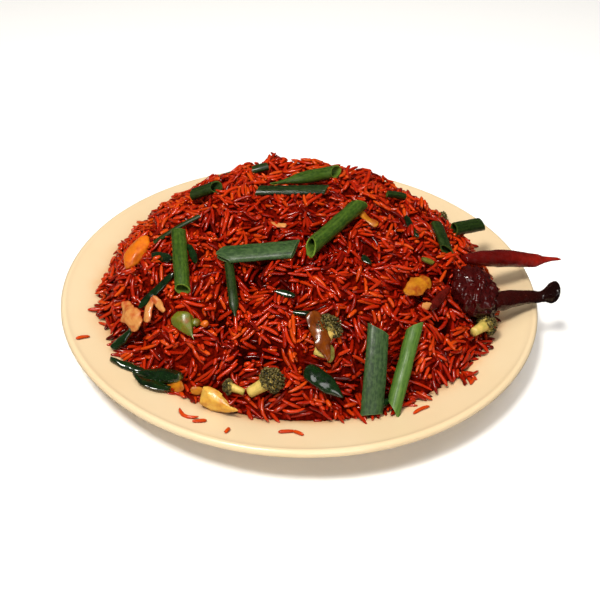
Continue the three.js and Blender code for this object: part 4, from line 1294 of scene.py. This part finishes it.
class Settler:
    # drops grains one at a time onto a height map, as a heap is poured
    def __init__(self, ground, envelope, look):
        self.ground, self.envelope, self.look = ground, envelope, look
        self.broken = look["broken"]
        self.rng = np.random.default_rng(look["seed"])
        self.heading = headingMap()
        self.share = np.linspace(-0.5, 0.5, 9)
        self.fit = np.linalg.pinv(np.stack([self.share ** 0, self.share, self.share ** 2], 1))
        self.steep = steepness(envelope)
        self.limit = np.maximum(envelope, plateMap + 2.4 * look["radius"][0])
        self.rows = []

    def size(self):
        rng, look = self.rng, self.look
        length = rng.normal(*look["length"])
        if rng.random() < self.broken:
            length *= rng.uniform(0.35, 0.7)
        return length, rng.normal(*look["radius"])

    def rest(self, x, y, heading, length, radius):
        # the curve that a soft grain takes on the ground: middle height, slope and sag
        way = (math.cos(heading), math.sin(heading))
        s = self.share * (length - radius)
        px, py = x + s * way[0], y + s * way[1]
        side = 0.5 * radius
        rows = [cellOf(py + k * side * way[0]) for k in (-1, 0, 1)]
        columns = [cellOf(px - k * side * way[1]) for k in (-1, 0, 1)]
        under = np.max([self.ground[r, c] for r, c in zip(rows, columns)], axis=0)
        height, slope, sag = self.fit @ under
        sag = np.clip(sag, -self.look["sag"], self.look["sag"])
        line = slope * self.share + sag * self.share ** 2
        height = (under - line).max() - self.look["sunk"]
        return height, slope / length, sag / length ** 2, rows[1], columns[1], height + line

    def lay(self, x, y, heading, length, radius, height, slope, sag):
        # keeps the grain and raises the ground to its top
        way = (math.cos(heading), math.sin(heading))
        tilt = math.sqrt(1 + slope * slope)
        self.rows.append((x, y, height + radius * tilt, *way, slope, sag, length, radius))
        half = (length / 2) / tilt
        reachX, reachY = abs(half * way[0]) + radius, abs(half * way[1]) + radius
        rows = slice(cellOf(y - reachY), cellOf(y + reachY) + 1)
        columns = slice(cellOf(x - reachX), cellOf(x + reachX) + 1)
        dx, dy = cellX[rows, columns] - x, cellY[rows, columns] - y
        along = np.clip(dx * way[0] + dy * way[1], -half, half)
        away = (dx - along * way[0]) ** 2 + (dy - along * way[1]) ** 2
        middle = height + radius * tilt + slope * along + sag * along ** 2
        top = middle + np.sqrt(np.maximum(radius ** 2 - away, 0)) * tilt
        patch = self.ground[rows, columns]
        patch[:] = np.where(away < radius ** 2, np.maximum(patch, top), patch)

    def attempt(self, x, y, tries, slack):
        # the best of a few ways to lie, if it stays under the envelope
        length, radius = self.size()
        base = self.heading[cellOf(y), cellOf(x)]
        best = (slack, None)
        for _ in range(tries):
            wild = self.rng.random() < self.look["wild"]
            heading = self.rng.uniform(0, math.pi) if wild else self.rng.normal(base, 0.3)
            height, slope, sag, rows, columns, line = self.rest(x, y, heading, length, radius)
            above = (line - self.limit[rows, columns]) / self.steep[rows, columns]
            worst = max(above.mean(), above.max() - self.look["sticksOut"]) + 2 * radius
            if abs(slope) < self.look["steepest"] and worst < best[0]:
                best = (worst, (heading, length, radius, height, slope, sag))
        if best[1] is None:
            return False
        self.lay(x, y, *best[1])
        return True

    def fill(self, most):
        # pours grains where there is room, until few more find a place
        laid, stalled = 0, 0
        while laid < most and stalled < self.look["patience"]:
            room = np.maximum(self.envelope - self.ground - 0.5, 0)
            weights = (np.minimum(room / self.steep, 4) * self.steep).ravel()
            picked = self.rng.choice(weights.size, self.look["batch"], p=weights / weights.sum())
            kept = 0
            for index in picked:
                x = cellLine[index % cells] + self.rng.uniform(-0.25, 0.25)
                y = cellLine[index // cells] + self.rng.uniform(-0.25, 0.25)
                kept += self.attempt(x, y, 3, self.rng.uniform(*self.look["slack"]))
            laid += kept
            stalled = stalled + 1 if kept < self.look["enough"] else 0
        return laid

    def standProud(self, count, inside, blocked):
        # grains with one end tipped up out of the heap
        spots = np.flatnonzero((inside & ~blocked).ravel())
        for index in self.rng.choice(spots, count):
            x, y = cellLine[index % cells], cellLine[index // cells]
            length, radius = self.size()
            heading = self.rng.uniform(0, 2 * math.pi)
            _, slope, _, rows, columns, line = self.rest(x, y, heading, length, radius)
            lift = math.tan(math.radians(self.rng.uniform(*self.look["tipped"])))
            s = self.share * (length - radius)
            height = (line - (slope + lift) * s).max() - self.rng.uniform(1.0, 2.2)
            gap = height + (slope + lift) * s - line
            if abs(slope + lift) < 0.7 and gap.max() < 2.2 and not blocked[rows, columns].any():
                self.lay(x, y, heading, length, radius, height, slope + lift, 0.0)

    def strewOver(self, tries, mixed, blocked):
        # grains that lie half on the mixed-in vegetables
        cover = blurred(mixed.astype(float), 1.2)
        spots = np.flatnonzero(((cover > 0.2) & (cover < 0.75) & ~blocked).ravel())
        for index in self.rng.choice(spots, tries):
            x, y = cellLine[index % cells], cellLine[index // cells]
            length, radius = self.size()
            heading = self.rng.uniform(0, math.pi)
            height, slope, sag, rows, columns, line = self.rest(x, y, heading, length, radius)
            onto = mixed[rows, columns]
            if abs(slope) < 0.75 and onto.mean() < 0.62 and not blocked[rows, columns].any():
                if (line + 2 * radius < self.envelope[rows, columns] + 2.4 + 5 * onto).all():
                    self.lay(x, y, heading, length, radius, height, slope, sag)


def grainPoints(rows, look, rng):
    # all grains at once: slightly bent, blunt-ended rods
    rows = np.asarray(rows)
    count = len(rows)
    x, y, z, wx, wy, slope, sag, length, radius = rows.T
    t = np.array(look["profile"])
    slim = np.sqrt(np.maximum(1 - np.abs(t) ** 4.5, 0.09))
    lean = rng.uniform(-0.2, 0.2, count)
    bend = rng.normal(0, look["bend"], count) * (length / 10) ** 2
    turn = circle(look["around"])
    # along the grain: its line, the way it points, and a frame across it
    plan = t[None] * (length / 2 / np.sqrt(1 + slope ** 2))[:, None]
    rise = slope[:, None] * plan + sag[:, None] * plan ** 2
    drift = bend[:, None] * (t ** 2 - 0.35)[None]
    line = np.stack([x[:, None] + plan * wx[:, None] - drift * wy[:, None],
                     y[:, None] + plan * wy[:, None] + drift * wx[:, None], z[:, None] + rise], -1)
    way = unit(np.gradient(line, axis=1))
    side = unit(np.cross([0.0, 0.0, 1.0], way))
    up = np.cross(way, side)
    rim = np.cos(turn)[:, None] * side[:, :, None] + np.sin(turn)[:, None] * up[:, :, None]
    size = radius[:, None] * slim * (1 + lean[:, None] * t)
    dent = 1 + 0.08 * np.cos(2 * turn)
    points = line[:, :, None] + (size[:, :, None] * dent)[..., None] * rim
    tips = np.stack([line[:, 0] - 0.12 * radius[:, None] * way[:, 0],
                     line[:, -1] + 0.12 * radius[:, None] * way[:, -1]], 1)
    points = np.concatenate([points.reshape(count, -1, 3), tips], 1)
    faces = cappedFaces(len(t), look["around"])
    each = points.shape[1]
    faces = (faces[None] + (np.arange(count) * each)[:, None, None]).reshape(-1, 3)
    along = plan + 31.0 * rng.random(count)[:, None]
    lay = np.stack(np.broadcast_arrays(np.cos(turn) * size[..., None], np.sin(turn) * size[..., None],
                                       along[..., None]), -1).reshape(count, -1, 3)
    lay = np.concatenate([lay, lay[:, [0, -1]]], 1)
    return points.reshape(-1, 3), faces, lay.reshape(-1, 3), each


def riceFinish(name, kind):
    _, lit, deep, wet, dry = kind
    finish = Finish(name, Coat_Weight=0.08, Coat_Roughness=0.06, IOR=1.4, Subsurface_Weight=0.15,
                    Subsurface_Radius=(1.0, 0.25, 0.1), Subsurface_Scale=0.0015)
    streak = finish.fibres(0.7, 0.22, 0.22)
    # the shaded copy where a grain's tone is low and the lit one where it is high: painted light and shade
    # over random tone
    base = finish.blend(finish.field("tone")["Fac"], deep, lit)
    finish.feed("Base Color", finish.blend(streak, base, deep, 0.35))
    finish.oiled(1.6, wet, dry)
    finish.relief(streak, 0.3, 0.12)
    return finish.material


def coreFinish(look):
    # sauce and broken grains deep between the others, coloured dark as painted shade between the grains
    finish = Finish("riceCrushedShaded", Specular_IOR_Level=0.0)
    base = finish.blend(finish.blotches(2.4, 0.5, 0.15), look["sauce"], look["shadedCrumbs"])
    # darkest in the pockets: painted shade
    finish.feed("Base Color", finish.blend(finish.field("hollow")["Fac"], base, look["pocketShade"]))
    finish.oiled(2.0, 0.5, 0.8)
    finish.pores(1.6, 1.0, 1.2)
    return finish.material


def makeCore(look, surface, material):
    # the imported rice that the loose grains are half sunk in
    around, rings = look["coreCells"]
    outline = []
    turn = circle(around)
    solid = surface > plateMap + 0.8
    middle = np.array(look["coreMiddle"])
    for angle in turn:
        reach = np.arange(20, 125, 0.5)
        rows = cellOf(middle[1] + reach * math.sin(angle))
        columns = cellOf(middle[0] + reach * math.cos(angle))
        filled = solid[rows, columns]
        outline.append(reach[np.flatnonzero(filled).max()] if filled.any() else 20)
    outline = np.array(outline)
    share = np.linspace(1 / rings, 1, rings)
    px = middle[0] + np.outer(share, outline * np.cos(turn))
    py = middle[1] + np.outer(share, outline * np.sin(turn))
    rows, columns = cellOf(py), cellOf(px)
    plate = plateMap[rows, columns] + 0.05
    high = np.maximum(surface[rows, columns], plate)
    high[-1] = plate[-1]
    top = np.stack([px, py, high], -1)
    bottom = np.stack([px, py, plate], -1)[::-14][1:]
    body = np.concatenate([top, bottom]).reshape(-1, 3)
    centre = cellOf(middle[1]), cellOf(middle[0])
    points = np.vstack([[*middle, surface[centre]], body, [*middle, plateMap[centre] + 0.05]])
    faces = latheFaces(len(top) + len(bottom), around)
    # painted shade in the pockets
    hollow = hollowMap(look)[cellOf(points[:, 1]), cellOf(points[:, 0])]
    return addPiece("riceCore", points, faces, material, "rice", ["rice"], hollow=hollow)


def showsAbove(surface, row):
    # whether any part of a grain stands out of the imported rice
    x, y, z, wx, wy, slope, sag, length, radius = row
    s = np.linspace(-0.45, 0.45, 5) * length / math.sqrt(1 + slope * slope)
    top = z + slope * s + sag * s * s + radius
    return (top > surface[cellOf(y + s * wy), cellOf(x + s * wx)] + 0.1).any()


def packedBelow(look, envelope):
    # the firm rice that the loose grains settle on
    steep = steepness(envelope)
    core = np.where(envelope > plateMap, envelope, plateMap) - look["layer"] * steep
    core = np.minimum(blurred(np.maximum(core, plateMap - 2), 4.0), underMap - 3.0)
    core = np.minimum(core, blurred(envelope, 1.0) - look["least"] * steep)
    return np.maximum(core, plateMap)


def mattedSurface(look, settled, steep, ground):
    # what the grains are stuck in, once they have settled
    smooth, deep = look["matted"]
    surface = np.minimum(blurred(settled, smooth) - deep * steep, underMap - 0.4)
    return np.maximum(blurred(np.maximum(surface, ground), 0.5), plateMap)


def scatterOver(settler, look, inside):
    # grains over the mixed-in vegetables, and some that stand up
    garnish, mixed = topMaps["garnish"] > 0, topMaps["mixedIn"] > 0
    settler.ground = np.maximum(settler.ground, topMaps["mixedIn"])
    blocked = garnish | (blurred(garnish.astype(float), 0.8) > 0.1)
    settler.strewOver(look["over"], mixed, blocked)
    deepInside = inside & (blurred(inside.astype(float), 2.0) > 0.6)
    settler.standProud(look["proud"], deepInside, blocked | mixed)


def grainTones(look, rows, ground, rng):
    # random tone, with painted shade low down and in the pockets, painted light on the tops, and broad
    # patches of painted light and shade
    spots = cellOf(rows[:, 1]), cellOf(rows[:, 0])
    toneMap = noiseMap(14.0, 9)
    proud = rows[:, 2] - blurred(ground, 5.0)[spots]
    tone = 0.8 + 0.3 * toneMap[spots] + rng.normal(0, 0.24, len(rows)) - 0.5 * hollowMap(look)[spots]
    return np.clip(tone + (0.2 * np.clip(proud, -3, 2) + paintedLightMap(look)[spots]), 0, 1)


def makeRice(look, kinds):
    envelope, inside = heapEnvelope(look)
    ground = packedBelow(look, envelope)
    settler = Settler(ground.copy(), envelope, look)
    laid = settler.fill(look["most"])
    settler.broken = look["brokenInGaps"]
    small = settler.fill(look["most"] - laid)
    settler.broken = look["broken"]
    print("rice: laid", laid, "grains and", small, "more in the gaps")
    surface = mattedSurface(look, settler.ground, settler.steep, ground)
    makeCore(look, surface, coreFinish(look))
    scatterOver(settler, look, inside)
    rows = np.array([row for row in settler.rows if showsAbove(surface, row)])
    print("rice:", len(rows), "grains show")
    rng = np.random.default_rng(look["seed"] + 1)
    tone = grainTones(look, rows, settler.ground, rng)
    shares = np.array([kind[0] for kind in kinds.values()])
    which = rng.choice(len(kinds), len(rows), p=shares / shares.sum())
    materials = {name: riceFinish(name, kind) for name, kind in kinds.items()}
    for number, name in enumerate(kinds):
        mine = which == number
        points, faces, lay, each = grainPoints(rows[mine], look, rng)
        addPiece(name, points, faces, materials[name], "rice", ["rice"], lay=lay,
                 tone=np.repeat(tone[mine], each))
        print("rice:", name, mine.sum(), "grains,", len(faces), "triangles")
    return inside, materials


inside, riceMaterials = makeRice(riceLook, riceKinds)


# grains dropped on the plate, and the plate itself

dropped = {
    # x and y (mm), heading (degrees), length (mm)
    "grains": [(-110.5, -51.5, 40, 8), (-51.5, -104.5, -30, 11), (-45, -108.5, 20, 7),
               (-31.5, -114.5, 70, 5), (-4, -112, 10, 8), (1.5, -113, -35, 6), (60, -94, 35, 10),
               (87.5, -72.5, 60, 7)],
    "tone": (0.4, 0.9),
    "seed": 3,
}


def makeDropped(dropped, look):
    rows = []
    for x, y, heading, length in dropped["grains"]:
        away = math.hypot(x, y)
        turned = math.radians(heading)
        slope = (eatingHeight(away + 2) - eatingHeight(away - 2)) / 4
        slope *= math.cos(turned - math.atan2(y, x))
        radius = look["radius"][0]
        rows.append((x, y, eatingHeight(away) + 0.85 * radius, math.cos(turned), math.sin(turned),
                     slope, 0.0, length, radius))
    rng = np.random.default_rng(dropped["seed"])
    points, faces, lay, each = grainPoints(rows, look, rng)
    tone = np.repeat(rng.uniform(*dropped["tone"], len(rows)), each)
    addPiece("riceDropped", points, faces, riceMaterials["riceOrange"], "rice", ["plate"],
             lay=lay, tone=tone)


makeDropped(dropped, riceLook)
nearRice = blurred(inside.astype(float), 5.0)


# round the rice's foot: oil smear with painted shade and red bounce light
def oilAndShadeAt(x, y):
    return np.clip(1.6 * nearRice[cellOf(y), cellOf(x)], 0, 1) * (eatingHeight(np.hypot(x, y)) > 0)


makePlate(plateLook, oilAndShadeAt)
print("plate and dropped grains")

meshes = [piece.data for piece in bpy.data.objects if piece.type == "MESH"]
print("triangles:", sum(len(mesh.loops) - 2 * len(mesh.polygons) for mesh in meshes))
